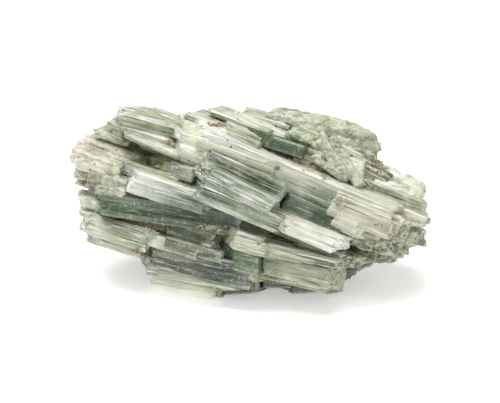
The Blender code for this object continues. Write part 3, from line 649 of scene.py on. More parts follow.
def break_height(places, seed, ragged):
    """How far a broken end stands out at each place of a section, in mm: blocks, and fibres on them."""
    slant = BREAK_SLANT * math.sin(seed * SLANT_CHANGE)
    leaning = places + places[:, ::-1] * (slant, -slant) + seed
    blocks = scattered(np.floor(leaning / BLOCK_CELL), seed)
    fibres = scattered(np.floor(leaning / FIBRE_CELL), seed + FIBRE_SEED)
    return ragged * (BLOCK_HEIGHT * (blocks - 0.5) + FIBRE_HEIGHT * (fibres - 0.5))


def stained(points, tints):
    """The tints, with the stains and the painted shade of the display side."""
    middle = (points - np.array(HEART)) / MM
    rise = middle[:, 1] * math.sin(DISPLAY_TILT) + middle[:, 2] * math.cos(DISPLAY_TILT)
    out = middle[:, 2] * math.sin(DISPLAY_TILT) - middle[:, 1] * math.cos(DISPLAY_TILT)
    run = Vector(MAIN_RUN[:2]).normalized()
    tints = tints.copy()
    for across, up, long, wide, furthest, tint, strength in STAINS_AND_SHADE:
        aside, above = middle[:, 0] - across, rise - up
        along = aside * run.x + above * run.y
        over = above * run.x - aside * run.y
        spot = np.exp(-((along / long) ** 4) - (over / wide) ** 4)
        share = spot * np.clip(furthest - out, 0, 1) * (out > STAIN_AND_SHADE_BACK)
        tints += (tint_of(tint) - tints) * (share * strength)[:, None]
    return tints


class Skin:
    """The growing surface of one piece: points, faces and what the material reads at each point."""

    def __init__(self):
        self.count = 0
        self.points, self.faces = [], []
        self.tints, self.grains, self.frosts, self.runs = [], [], [], []
        self.rooms, self.silvers = [], []

    def add(self, points, faces, tints, grains, frosts, run, rooms, silver):
        for block in faces:
            self.faces.extend((block + self.count).tolist())
        self.points.append(points)
        self.tints.append(tints)
        self.grains.append(grains)
        self.frosts.append(frosts)
        self.runs.append(np.tile(run, (len(points), 1)))
        self.rooms.append(rooms)
        self.silvers.append(np.full(len(points), silver))
        self.count += len(points)

    def finish(self, name, material):
        """The piece, and its tints with the stains and the painted shade, kept for a fused skin made from it.
        """
        points = np.concatenate(self.points)
        points[:, 2] = np.maximum(points[:, 2], 0.0)
        mesh = bpy.data.meshes.new(name)
        mesh.from_pydata(points.tolist(), [], self.faces)
        self.tints = [stained(points, np.concatenate(self.tints))]
        readings = self.tints, self.grains, self.frosts, self.runs, self.rooms, self.silvers
        set_readings(mesh, *(np.concatenate(values) for values in readings))
        return new_piece(name, mesh, material)


def set_readings(mesh, tints, grains, frosts, runs, rooms, silvers):
    """Store at each point what the crystals' material and the fibres read there."""
    tint = mesh.attributes.new("tint", "FLOAT_COLOR", "POINT")
    tint.data.foreach_set("color", np.column_stack([tints, np.ones(len(tints))]).astype(np.float32).ravel())
    for name, values in (("grain", grains), ("run", runs)):
        attribute = mesh.attributes.new(name, "FLOAT_VECTOR", "POINT")
        attribute.data.foreach_set("vector", values.astype(np.float32).ravel())
    for name, values in (("frost", frosts), ("room", rooms), ("silver", silvers)):
        attribute = mesh.attributes.new(name, "FLOAT", "POINT")
        attribute.data.foreach_set("value", values.astype(np.float32))


def new_piece(name, mesh, material):
    mesh.name = name
    mesh.materials.clear()
    mesh.materials.append(material)
    mesh.update()
    piece = bpy.data.objects.new(name, mesh)
    bpy.context.scene.collection.objects.link(piece)
    return piece


def strip_edges(dice, length, widths):
    """Where the cleavage strips across one side of a lath begin and end."""
    low, high = widths
    sizes = [CORNER_STRIP]
    while sum(sizes) < length - CORNER_STRIP:
        sizes.append(low * (high / low) ** dice.random())
    sizes.append(CORNER_STRIP)
    edges = np.concatenate([[0.0], np.cumsum(sizes)])
    return edges * length / edges[-1]


def section_strips(dice, lath, habit):
    """Two columns of points for each strip, going round the lath's section, in mm."""
    deep, thick = lath.deep / MM, lath.thick / MM
    corners = np.array([(f * deep + t * thick * lath.lean, t * thick) for f, t in CORNERS])
    spots, normals, depths, strip_of, around, gaps = ([] for _ in range(6))
    walked = drift = 0.0
    strip = 0
    for side in range(4):
        near, far = corners[side], corners[(side + 1) % 4]
        reach = np.linalg.norm(far - near)
        run = (far - near) / reach
        edges = strip_edges(dice, reach, habit.strips if side in SEEN_SIDES else HIDDEN_STRIPS)
        for low, high in zip(edges, edges[1:]):
            drift = STRIP_DRIFT * drift + dice.gauss(0, habit.step)
            tilt = dice.gauss(0, STRIP_TILT) * habit.step
            for place, lean in ((low, tilt), (high, -tilt)):
                spots.append(near + run * place)
                normals.append((run[1], -run[0]))
                depths.append(drift + lean)
                strip_of.append(strip)
                around.append(walked + place)
                gaps.append(min(place, reach - place))
            strip += 1
        walked += reach
    return [np.array(v) for v in (spots, normals, depths, strip_of, around, gaps)] + [strip]


def strip_shares(rng, length, strips, habit):
    """For each ring of each strip, its place along the lath as a share, and its depth there in mm."""
    pairs = max(1, round(length / RING_EVERY))
    ends = np.array(END_ROUNDING)[:, None] * rng.uniform(*END_VARIETY, (len(END_ROUNDING), strips)) / length
    longer = max(1.0, habit.round / SHARP)
    ends *= longer
    shares, segments = list(ends), [0] * len(ends)
    margin = min(WIDEST_MARGIN, END_MARGIN * END_ROUNDING[-1] * longer / length)
    for k in range(pairs):
        centre = (k + 0.5 + rng.uniform(-RING_STRAY, RING_STRAY, strips)) / pairs
        centre = np.clip(centre, margin + RING_ROOM, 1 - RING_ROOM - margin)
        shares += [centre - STEP_LENGTH / 2 / length, centre + STEP_LENGTH / 2 / length]
        segments += [k, k + 1]
    shares += [1 - share for share in ends[::-1]]
    segments += [pairs] * len(ends)
    shares = np.maximum.accumulate(np.array(shares), axis=0)
    levels = np.zeros((pairs + 1, strips))
    levels[0] = rng.normal(0, habit.step * FIRST_STEP, strips)
    for k in range(1, pairs + 1):
        group = np.cumsum(rng.random(strips) < GROUP_CHANCE)
        broken = (rng.random(strips + 1) < habit.chance)[group]
        change = rng.normal(0, habit.step * NEXT_STEP, strips + 1)[group]
        levels[k] = np.where(broken, change, levels[k - 1])
    return shares, levels[segments]


def lath_faces(rings, columns, cap_rings):
    """The faces along a lath and over the cap at each of its ends."""
    index = np.arange(rings * columns).reshape(rings, columns)
    beside = np.roll(index, -1, axis=1)
    faces = [np.stack([index[:-1], index[1:], beside[1:], beside[:-1]], axis=-1).reshape(-1, 4)]
    at = rings * columns
    for outer, flip in ((index[0], False), (index[-1], True)):
        for _ in range(cap_rings):
            inner = np.arange(at, at + columns)
            at += columns
            quad = [outer, np.roll(outer, -1), np.roll(inner, -1), inner]
            faces.append(np.stack(quad[::-1] if flip else quad, axis=-1))
            outer = inner
        fan = [outer, np.roll(outer, -1), np.full(columns, at)]
        at += 1
        faces.append(np.stack(fan[::-1] if flip else fan, axis=-1))
    return faces


def add_lath_skin(skin, dice, lath, habit, tint_pair, growth, step_scale, ragged_scale, cap_rings):
    """Add one lath: strips of cleavage face that break from depth to depth, between two blunt ends."""
    seed = dice.random() * SEED_RANGE
    rng = np.random.default_rng(int(seed * 1e6))
    habit = habit._replace(step=habit.step * step_scale, ragged=habit.ragged * ragged_scale)
    length = (lath.end - lath.start).length / MM
    axis = np.array((lath.end - lath.start).normalized())
    front, top = np.array(lath.front), np.array(lath.top)
    thinner = min(lath.deep, lath.thick) / MM
    slight = min(1, thinner / 2)
    spots, normals, depths, strip_of, around, gaps, strips = section_strips(dice, lath, habit)
    shares, levels = strip_shares(rng, length, strips, habit)
    shares, levels = shares[:, strip_of], levels[:, strip_of]
    worn = habit.round * np.clip(1 - gaps / (CORNER_REACH * habit.round), 0, 1) ** 2
    blunt = np.zeros(len(shares))
    blunt[[0, -1]] = 1.0
    blunt[[1, -2]] = END_PART
    uneven = rng.uniform(*UNEVEN_WEAR, strips)[strip_of]
    blunting = blunt[:, None] * habit.round * uneven * slight

    # Broken ends: each follows the break's own slope.
    offsets = spots[:, :1] * front + spots[:, 1:] * top
    slopes = [np.array(slope) for slope in lath.breaks]
    middles = np.repeat((spots[0::2] + spots[1::2]) / 2, 2, axis=0)
    first = offsets @ slopes[0] + break_height(middles, seed, habit.ragged)
    last = length + offsets @ slopes[1] + break_height(middles, seed + FAR_END_SEED, habit.ragged)
    along = first + (last - first) * shares
    inset = depths + levels + worn * slight - growth / MM
    inset = np.clip(inset, -PROUDEST, DEEPEST * thinner) + blunting
    plane = spots - normals * inset[:, :, None]
    points = along[:, :, None] * axis + plane[:, :, :1] * front + plane[:, :, 1:] * top
    rings, columns = along.shape

    # Caps: blocks and fibre ends standing at different heights.
    caps, sections = [], []
    for ring, slope, base, way in ((0, slopes[0], 0.0, -1), (-1, slopes[1], length, 1)):
        middle = plane[ring].mean(axis=0)
        bulge = way * habit.round * END_BULGE
        break_seed = seed if ring == 0 else seed + FAR_END_SEED
        for scale in cap_rings + (0.0,):
            inner = middle + (plane[ring] - middle) * scale if scale else middle[None]
            height = break_height(inner, break_seed, habit.ragged) + bulge
            level = base + (inner[:, :1] * front + inner[:, 1:] * top) @ slope + height
            caps.append(level[:, None] * axis + inner[:, :1] * front + inner[:, 1:] * top)
            sections.append(inner)
    flat = np.concatenate([points.reshape(-1, 3)] + caps)
    faces = lath_faces(rings, columns, len(cap_rings))

    # What the material reads.
    capped = len(flat) - rings * columns
    position = flat @ axis
    share = np.clip(position / length, 0, 1)[:, None]
    tones = np.tile(rng.normal(0, STRIP_TONES, strips)[strip_of], rings)
    tones = np.concatenate([tones, np.zeros(capped)])
    tint = (tint_pair[0] * (1 - share) + tint_pair[1] * share) * (1 + tones[:, None])
    across = np.concatenate(sections)
    grain = np.column_stack(
        [
            np.concatenate([position[:-capped], across[:, 0] * CAP_STRETCH]) + seed,
            np.concatenate([np.tile(around, rings), across[:, 1]]) + seed * 3,
            np.full(len(flat), seed),
        ]
    )
    near_end = np.minimum(position - first.min(), last.max() - position)
    frost = np.clip(FROST_START - near_end / habit.frost, 0, 1)
    # The long edges take the frost tint: their worn whitening and a painted highlight.
    edge_frost_and_highlight = np.tile(np.exp(-gaps / EDGE_FROST_AND_HIGHLIGHT_WIDTH) * EDGE_FROST_AND_HIGHLIGHT, rings)
    frost[: rings * columns] = np.maximum(frost[: rings * columns] * SIDE_FROST, edge_frost_and_highlight)
    rooms = np.maximum(near_end - habit.ragged, 0) * MM
    rooms[rings * columns :] = 0
    skin.add(np.array(lath.start) + flat * MM, faces, tint, grain, frost, axis, rooms, habit.silver)


def add_lump(skin, middle, half, tint):
    """Add a plain lump to a skin that is going to be fused."""
    bm = bmesh.new()
    bmesh.ops.create_icosphere(bm, subdivisions=CORE_SUBDIVISIONS, radius=1.0)
    points = np.array([placed(*(m + c * h for m, c, h in zip(middle, vert.co, half))) for vert in bm.verts])
    faces = [np.array([[vert.index for vert in face.verts] for face in bm.faces])]
    bm.free()
    count = len(points)
    empty = np.zeros(count)
    tints, grains = np.tile(tint, (count, 1)), np.zeros((count, 3))
    skin.add(points, faces, tints, grains, empty, (1.0, 0.0, 0.0), empty, CORE_SILVER)


def linear(colour):
    """The light-linear form of a colour as a screen shows it."""
    channels = np.array(colour)
    return np.where(channels <= 0.04045, channels / 12.92, ((channels + 0.055) / 1.055) ** 2.4)


def link_or_set(tree, socket, value):
    """Feed a socket from another node's output, or give it a plain value."""
    if isinstance(value, bpy.types.NodeSocket):
        tree.links.new(value, socket)
    elif hasattr(socket.default_value, "__len__") and len(socket.default_value) == 4:
        socket.default_value = (*value, 1.0)
    else:
        socket.default_value = value


def feed(tree, node, inputs):
    """Link or set a node's inputs, by socket name or number."""
    for key, value in inputs.items():
        link_or_set(tree, node.inputs[key], value)


def node_of(tree, kind, inputs, **settings):
    """A new node with its settings and inputs."""
    node = tree.nodes.new(kind)
    for key, value in settings.items():
        setattr(node, key, value)
    feed(tree, node, inputs)
    return node


def mixed(tree, factor, first, second, blend="MIX"):
    """The colour output of a colour mix."""
    inputs = {0: factor, 6: first, 7: second}
    return node_of(tree, "ShaderNodeMix", inputs, data_type="RGBA", blend_type=blend).outputs[2]


def computed(tree, operation, *values, clamp=False):
    """The output of a Math node."""
    inputs = dict(enumerate(values))
    return node_of(tree, "ShaderNodeMath", inputs, operation=operation, use_clamp=clamp).outputs[0]


def ranged(tree, value, low, high, start, end):
    """Value moved from one range to another, and held within it."""
    inputs = dict(enumerate((value, low, high, start, end)))
    return node_of(tree, "ShaderNodeMapRange", inputs).outputs["Result"]


def patterned(tree, vector, stretch, detail):
    """The value of a noise pattern on a vector that is first scaled."""
    mapping = node_of(tree, "ShaderNodeMapping", {"Vector": vector, "Scale": stretch})
    inputs = {"Vector": mapping.outputs[0], "Scale": 1.0, "Detail": detail, "Roughness": PATTERN_ROUGHNESS}
    return node_of(tree, "ShaderNodeTexNoise", inputs).outputs["Fac"]


def speckled(tree, scale, detail):
    """The value of an even noise pattern in the piece's own coordinates."""
    place = tree.nodes.new("ShaderNodeTexCoord").outputs["Object"]
    return patterned(tree, place, (scale, scale, scale), detail)


def reading(tree, name, output):
    """What was stored at each point of the mesh."""
    return node_of(tree, "ShaderNodeAttribute", {}, attribute_name=name).outputs[output]


def bumped(tree, height, strength, distance):
    """The normal that a relief gives."""
    inputs = {"Height": height, "Strength": strength, "Distance": distance}
    return node_of(tree, "ShaderNodeBump", inputs).outputs[0]


def new_material(name):
    material = bpy.data.materials.new(name)
    material.use_nodes = True
    return material, material.node_tree, material.node_tree.nodes["Principled BSDF"]


def crystal_material(name, streaking=1.0, crust=0.0):
    """Tremolite: fibre streaks along the grain, veils of white and painted sheen, a frosted break, painted
    highlights on the long edges and a worn crust.
    """
    if name in bpy.data.materials:
        return bpy.data.materials[name]
    material, tree, shader = new_material(name)
    tint = reading(tree, "tint", "Color")
    grain = reading(tree, "grain", "Vector")
    silver = reading(tree, "silver", "Fac")
    bands = patterned(tree, grain, *BANDS)
    dashes = patterned(tree, grain, *DASHES)
    threads = patterned(tree, grain, *THREADS)
    clouds = speckled(tree, *CLOUDS)
    flecks = speckled(tree, *FLECKS)

    # Some zones are dense with streaks and others nearly plain.
    zones = patterned(tree, grain, *ZONES)
    busy = computed(tree, "MULTIPLY", ranged(tree, zones, 0.40, 0.60, 0.1, 1.0), streaking)
    # Pale crystals are streaked less deeply than green ones.
    brightness = node_of(tree, "ShaderNodeRGBToBW", {0: tint}).outputs[0]
    depth = computed(tree, "MULTIPLY", busy, ranged(tree, brightness, 0.18, 0.60, 1.0, 0.70))
    # The less silvery a crystal is, the fewer its white threads are.
    rarity = computed(tree, "MULTIPLY", computed(tree, "SUBTRACT", 1.0, silver), 0.10)
    rarer_dashes = computed(tree, "SUBTRACT", dashes, rarity)
    rarer_threads = computed(tree, "SUBTRACT", threads, rarity)
    # Thin cracks across the grain, here and there.
    cracks = patterned(tree, grain, *CRACKS)
    from_crack = computed(tree, "ABSOLUTE", computed(tree, "SUBTRACT", cracks, 0.5))
    cracked = ranged(tree, from_crack, 0.0, 0.012, 0.8, 0.0)

    # The light streaks paint the sheen of fibres that catch the light, over the fibres' own white.
    light = tint_of("light")
    darker = mixed(tree, 1.0, tint, tint_of("deep"), "MULTIPLY")
    darkest = mixed(tree, 1.0, darker, tint_of("deep"), "MULTIPLY")
    veil = 0.35 + 0.4 * crust
    layers = (
        # how strong, pattern, its value where the layer starts and where it is full, most of it, colour
        (depth, bands, 0.48, 0.34, 0.90, darker),
        (silver, bands, 0.53, 0.68, 0.55 * streaking, light),
        (silver, clouds, 0.50, 0.70 - 0.09 * crust, veil, light),
        (1.0, clouds, 0.47, 0.30 + 0.06 * crust, veil, darker),
        (depth, dashes, 0.455, 0.34, 0.95, darkest),
        (busy, rarer_dashes, 0.55, 0.63, 0.95, light),
        (depth, threads, 0.45, 0.33, 0.60, darkest),
        (busy, rarer_threads, 0.55, 0.66, 0.70, light),
        (1.0, flecks, 0.62, 0.70, 0.25 + 0.25 * crust, light),
        (cracked, bands, 0.50, 0.60, 1.0, light),
    )
    colour = tint
    for strength, pattern, start, full, most, layer in layers:
        share = ranged(tree, pattern, start, full, 0.0, most)
        colour = mixed(tree, computed(tree, "MULTIPLY", strength, share, clamp=True), colour, layer)
    # Whitened breaks, and on the long edges a painted highlight, take the frost tint.
    patchy = ranged(tree, flecks, 0.30, 0.60, 0.45, 1.0)
    whitened = computed(tree, "MULTIPLY", reading(tree, "frost", "Fac"), patchy, clamp=True)
    colour = mixed(tree, computed(tree, "MULTIPLY", whitened, 0.78), colour, tint_of("frost"))

    rough = ranged(tree, dashes, 0.35, 0.65, 0.12 + 0.3 * crust, 0.30 + 0.3 * crust)
    streaks = computed(tree, "MULTIPLY", dashes, 0.6)
    streaks = computed(tree, "ADD", streaks, computed(tree, "MULTIPLY", threads, 0.4))
    pitted = computed(tree, "MULTIPLY", flecks, computed(tree, "ADD", whitened, crust, clamp=True))
    relief = computed(tree, "ADD", streaks, computed(tree, "MULTIPLY", pitted, 0.8))
    inputs = {
        "Base Color": colour,
        "Roughness": computed(tree, "ADD", rough, computed(tree, "MULTIPLY", whitened, 0.25), clamp=True),
        "IOR": 1.62,
        "Subsurface Weight": 0.3,
        "Subsurface Radius": (1.0, 1.1, 0.85),
        "Subsurface Scale": 0.4 * MM,
        "Normal": bumped(tree, relief, 0.6, 0.25 * MM),
    }
    feed(tree, shader, inputs)
    return material


def felt_material():
    """Felted tremolite at the bottom of the crevices, olive to brown, darkened by painted shade of the
    crevices.
    """
    material, tree, shader = new_material("crevice_felt")
    clouds = speckled(tree, *FELT_CLOUDS)
    grit = speckled(tree, *FELT_GRIT)
    crevice = tint_of("crevice")
    colour = mixed(tree, ranged(tree, clouds, 0.42, 0.62, 0.0, 0.6), crevice, tint_of("tan"))
    colour = mixed(tree, ranged(tree, grit, 0.52, 0.66, 0.0, 0.5), colour, tint_of("straw"))
    colour = mixed(tree, ranged(tree, grit, 0.46, 0.34, 0.0, 0.8), colour, crevice * 0.35)
    relief = bumped(tree, grit, 0.8, 0.3 * MM)
    feed(tree, shader, {"Base Color": colour, "Roughness": 0.75, "Normal": relief})
    return material


def matrix_material():
    """Sandy and rusty grains, each with the tint stored on it."""
    material, tree, shader = new_material("matrix_grains")
    tint = reading(tree, "tint", "Color")
    grit = speckled(tree, *GRAIN_GRIT)
    clouds = speckled(tree, *GRAIN_CLOUDS)
    paler = mixed(tree, 0.5, tint, tint_of("cream"))
    colour = mixed(tree, ranged(tree, clouds, 0.35, 0.65, 0.0, 0.8), tint, paler)
    colour = mixed(tree, ranged(tree, grit, 0.48, 0.34, 0.0, 0.8), colour, tint_of("brown") * 0.4)
    relief = bumped(tree, grit, 0.6, 0.1 * MM)
    feed(tree, shader, {"Base Color": colour, "Roughness": 0.7, "Normal": relief})
    return material


def settle(piece):
    """The finished piece rides on the stone's one body and stands for its solid."""
    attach(piece, "root")
    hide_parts(NODE)


def evaluated_mesh(obj):
    """The mesh that an object's modifiers make of it."""
    graph = bpy.context.evaluated_depsgraph_get()
    return bpy.data.meshes.new_from_object(obj.evaluated_get(graph))


def worn_piece(skin, name, material, wear):
    """The columns of a skin fused and rounded by wear, with the tints of the nearest points."""
    rough = skin.finish(name, material)
    fuse = rough.modifiers.new("fuse", "REMESH")
    fuse.mode = "VOXEL"
    fuse.voxel_size = wear.face * MM
    smooth = rough.modifiers.new("smooth", "SMOOTH")
    smooth.iterations = wear.passes
    mesh = evaluated_mesh(rough)
    bpy.data.objects.remove(rough)

    count = len(mesh.vertices)
    points, normals = np.empty(count * 3), np.empty(count * 3)
    mesh.vertices.foreach_get("co", points)
    mesh.vertex_normals.foreach_get("vector", normals)
    points, normals = points.reshape(-1, 3), normals.reshape(-1, 3)
    source = np.concatenate(skin.points)
    tree = kdtree.KDTree(len(source))
    for i, point in enumerate(source):
        tree.insert(point, i)
    tree.balance()
    tints, frosts = np.concatenate(skin.tints), np.concatenate(skin.frosts)
    found_tints, found_frosts = np.empty((count, 3)), np.empty(count)
    lumps = np.empty(count)
    for i, point in enumerate(points):
        near = tree.find_n(point, NEAREST)
        weights = np.array([1 / (distance + NEAREST_SOFTENING) for _, _, distance in near])
        chosen = [index for _, index, _ in near]
        found_tints[i] = weights @ tints[chosen] / weights.sum()
        found_frosts[i] = weights @ frosts[chosen] / weights.sum()
        spot = Vector(point) / (wear.lump * MM)
        lumps[i] = sum(noise.noise(spot * scale) * share for scale, share in LUMP_OCTAVES)
    points = points + normals * (lumps * wear.height * MM)[:, None]
    points[:, 2] = np.maximum(points[:, 2], 0.0)
    mesh.vertices.foreach_set("co", points.ravel())
    side = RUN.cross(OUTWARD).normalized()
    turned = points @ np.array([RUN, side, RUN.cross(side)]).T / MM
    found_frosts = np.clip(found_frosts * WORN_FROST + lumps * LUMP_FROST, 0, 1)
    runs = np.tile(RUN, (count, 1))
    plain = np.zeros(count)
    set_readings(mesh, found_tints, turned, found_frosts, runs, plain, plain + wear.silver)
    return new_piece(name, mesh, material)


def grown(name, bundles):
    """Grow one piece from (laths, habit, tint at each end) rows."""
    sizes = bpy.context.scene.tremolite_sizes
    scales = sizes.growth, sizes.step_scale, sizes.ragged_scale
    skin = Skin()
    dice = random.Random(name)
    cap_rings = CAP_RINGS if name in BUNDLES else PLAIN_CAP_RINGS
    for laths, habit, tints in bundles:
        pair = [tint_of(tint) for tint in tints]
        for lath in laths:
            add_lath_skin(skin, dice, lath, HABITS[habit], pair, *scales, cap_rings)
    for middle, half, tint in CORES.get(name, ()):
        add_lump(skin, middle, half, tint_of(tint))
    wear = WORN_PIECES.get(name)
    if wear:
        piece = worn_piece(skin, name, crystal_material(*wear.finish), wear)
    else:
        piece = skin.finish(name, crystal_material("silky_tremolite"))
    settle(piece)


class TREMOLITE_OT_grow_columns(bpy.types.Operator):
    """Grow the columns of one region of the display side"""

    bl_idname = "tremolite.grow_columns"
    bl_label = "Grow Columns"
    piece: StringProperty(name="Piece", description="Which region to grow", default="crest_columns")

    def execute(self, context):
        bundles = []
        for *seen, finish in BUNDLES[self.piece]:
            *tints, habit = finish.split()
            bundles.append((seen_laths(*seen), habit, tints))
        if self.piece in SPLIT_PIECES:
            dice = random.Random(self.piece + " split")
            bundles = [
                ([fibre], habit, dice.choices(SPLIT_TINTS, k=2))
                for laths, habit, _ in bundles
                for lath in laths
                for fibre in split_lath(dice, lath)
            ]
        grown(self.piece, bundles)
        return {"FINISHED"}


class TREMOLITE_OT_grow_back(bpy.types.Operator):
    """Grow the columns of the back and of the underside"""

    bl_idname = "tremolite.grow_back"
    bl_label = "Grow Back"

    def execute(self, context):
        for name, rows in BACK_PIECES.items():
            dice = random.Random(name + " tints")
            bundles = []
            for row in rows:
                tints = RIM_TINTS if row in RIM_ROWS else BACK_TINTS
                for laths in back_laths(*row):
                    habit = dice.choice(BACK_HABITS)
                    bundles.append((laths, habit, (dice.choice(tints), dice.choice(tints))))
            grown(name, bundles)
        return {"FINISHED"}


class TREMOLITE_OT_grow_crevices(bpy.types.Operator):
    """Grow the deeper columns that show in the gaps of the display side"""

    bl_idname = "tremolite.grow_crevices"
    bl_label = "Grow Crevices"

    def execute(self, context):
        dice = random.Random("crevice tints")
        bundles = [
            ([lath], "deep", (dice.choice(CREVICE_TINTS), dice.choice(CREVICE_TINTS)))
            for lath in crevice_laths()
        ]
        grown("crevice_columns", bundles)
        return {"FINISHED"}


class TREMOLITE_OT_grow_heart(bpy.types.Operator):
    """Grow the felted heart behind the columns"""

    bl_idname = "tremolite.grow_heart"
    bl_label = "Grow Heart"

    def execute(self, context):
        bm = bmesh.new()
        bmesh.ops.create_icosphere(bm, subdivisions=HEART_SUBDIVISIONS, radius=1.0)
        for vert in bm.verts:
            swell = HEART_SWELL + HEART_LUMPS * noise.noise(vert.co * HEART_LUMP_SCALE)
            swell += sum(noise.noise(vert.co * scale) * height for scale, height in HEART_GRAIN)
            vert.co = HEART + Vector([c * half * swell for c, half in zip(vert.co, HEART_HALF)]) * MM
            vert.co.z = max(vert.co.z, 0.0)
        mesh = bpy.data.meshes.new("felted_heart")
        bm.to_mesh(mesh)
        bm.free()
        settle(new_piece("felted_heart", mesh, felt_material()))
        return {"FINISHED"}


def new_tree(name, sizes):
    """An empty geometry tree with a geometry input and output and the named sizes."""
    tree = bpy.data.node_groups.new(name, "GeometryNodeTree")
    tree.interface.new_socket("Geometry", in_out="INPUT", socket_type="NodeSocketGeometry")
    for size, default in sizes.items():
        kind = "NodeSocketInt" if size == "Seed" else "NodeSocketFloat"
        tree.interface.new_socket(size, in_out="INPUT", socket_type=kind).default_value = default
    tree.interface.new_socket("Geometry", in_out="OUTPUT", socket_type="NodeSocketGeometry")
    return tree, tree.nodes.new("NodeGroupInput").outputs, tree.nodes.new("NodeGroupOutput")


def random_between(tree, low, high, seed, shift, kind="FLOAT"):
    """A random number or vector between two, from the seed plus a shift."""
    first = 0 if kind == "FLOAT_VECTOR" else 2
    inputs = {first: low, first + 1: high, "Seed": computed(tree, "ADD", seed, shift)}
    node = node_of(tree, "FunctionNodeRandomValue", inputs, data_type=kind)
    return node.outputs[0 if kind == "FLOAT_VECTOR" else 1]


def named_value(tree, name, kind="FLOAT"):
    """What was stored on the mesh under a name."""
    node = node_of(tree, "GeometryNodeInputNamedAttribute", {"Name": name}, data_type=kind)
    return node.outputs["Attribute"]


def spread_points(tree, given, share):
    """Points spread over the faces, by the given density times a share."""
    density = computed(tree, "MULTIPLY", share, given["Density"])
    inputs = {"Mesh": given["Geometry"], "Density": density, "Seed": given["Seed"]}
    return node_of(tree, "GeometryNodeDistributePointsOnFaces", inputs).outputs["Points"]


def finish_tree(tree, points, shape, turn, scale, material, result):
    """Real copies of a shape on the points, in one material, as the tree's result."""
    inputs = {"Points": points, "Instance": shape, "Rotation": turn, "Scale": scale}
    copies = node_of(tree, "GeometryNodeInstanceOnPoints", inputs).outputs["Instances"]
    real = node_of(tree, "GeometryNodeRealizeInstances", {"Geometry": copies}).outputs["Geometry"]
    coloured = node_of(tree, "GeometryNodeSetMaterial", {"Geometry": real, "Material": material})
    feed(tree, result, {"Geometry": coloured.outputs["Geometry"]})


def fibre_tree(material):
    """Loose fibres laid on the faces along the crystals' run."""
    sizes = {"Density": 1e6, "Length": 5 * MM, "Width": 0.1 * MM, "Seed": 1}
    tree, given, result = new_tree("laid_fibres", sizes)
    seed = given["Seed"]
    clear = computed(tree, "SUBTRACT", 1.0, named_value(tree, "frost"), clamp=True)
    run = named_value(tree, "run", "FLOAT_VECTOR")
    turn = node_of(tree, "FunctionNodeAlignRotationToVector", {"Vector": run}, axis="Z")
    share = random_between(tree, *FIBRE_LENGTHS, seed, 1)
    wanted = computed(tree, "MULTIPLY", computed(tree, "MULTIPLY", share, share), given["Length"])
    room = computed(tree, "MULTIPLY", named_value(tree, "room"), FIBRE_OVERHANG)
    length = computed(tree, "MINIMUM", wanted, room)
    width = computed(tree, "MULTIPLY", random_between(tree, *FIBRE_WIDTHS, seed, 2), given["Width"])
    scale = node_of(tree, "ShaderNodeCombineXYZ", {"X": width, "Y": width, "Z": length})
    fibre = node_of(tree, "GeometryNodeMeshCylinder", {"Vertices": 3, "Radius": 1.0, "Depth": 1.0})
    points = spread_points(tree, given, clear)
    made = fibre.outputs["Mesh"], turn.outputs["Rotation"], scale.outputs["Vector"]
    finish_tree(tree, points, *made, material, result)
    return tree


def strewn(tree, points, given, material, result):
    """Small angular lumps of random turns and sizes on the points, as the tree's result."""
    ball = node_of(
        tree, "GeometryNodeMeshIcoSphere", {"Radius": 1.0, "Subdivisions": LUMP_SUBDIVISIONS}
    ).outputs["Mesh"]
    pattern = node_of(tree, "ShaderNodeTexNoise", {"Scale": LUMP_SCALE, "Detail": 1.0}).outputs["Color"]
    inputs = {0: pattern, 1: (0.5, 0.5, 0.5)}
    centred = node_of(tree, "ShaderNodeVectorMath", inputs, operation="SUBTRACT").outputs["Vector"]
    inputs = {0: centred, "Scale": LUMP_HEIGHT}
    shift = node_of(tree, "ShaderNodeVectorMath", inputs, operation="SCALE").outputs["Vector"]
    lump = node_of(tree, "GeometryNodeSetPosition", {"Geometry": ball, "Offset": shift})
    bounds = (0.0, 0.0, 0.0), (WHOLE_TURN, WHOLE_TURN, WHOLE_TURN)
    turn = random_between(tree, *bounds, given["Seed"], 3, "FLOAT_VECTOR")
    bounds = [(size, size, size) for size in LUMP_SIZES]
    shape = random_between(tree, *bounds, given["Seed"], 4, "FLOAT_VECTOR")
    inputs = {0: shape, "Scale": given["Size"]}
    scale = node_of(tree, "ShaderNodeVectorMath", inputs, operation="SCALE").outputs["Vector"]
    finish_tree(tree, points, lump.outputs["Geometry"], turn, scale, material, result)


def crumb_tree(material):
    """Crumbs on the whitened breaks."""
    tree, given, result = new_tree("break_crumbs", {"Density": 1e6, "Size": 0.2 * MM, "Seed": 1})
    whitest = computed(tree, "POWER", named_value(tree, "frost"), CRUMB_EDGE, clamp=True)
    strewn(tree, spread_points(tree, given, whitest), given, material, result)
    return tree


def grain_tree(material):
    """Matrix grains, one on each point."""
    tree, given, result = new_tree("matrix_grains", {"Size": 0.2 * MM, "Seed": 1})
    points = node_of(tree, "GeometryNodeMeshToPoints", {"Mesh": given["Geometry"]}).outputs["Points"]
    strewn(tree, points, given, material, result)
    return tree


def grown_by_nodes(name, host, tree, values, material):
    """The plain mesh that a geometry tree makes on a host, as a settled piece."""
    modifier = host.modifiers.new(name, "NODES")
    modifier.node_group = tree
    for item in tree.interface.items_tree:
        if item.in_out == "INPUT" and item.name in values:
            modifier[item.identifier] = values[item.name]
    mesh = evaluated_mesh(host)
    host.modifiers.clear()
    bpy.data.objects.remove(host)
    points = np.empty(len(mesh.vertices) * 3)
    mesh.vertices.foreach_get("co", points)
    points[2::3] = np.maximum(points[2::3], 0.0)
    mesh.vertices.foreach_set("co", points)
    settle(new_piece(name, mesh, material))


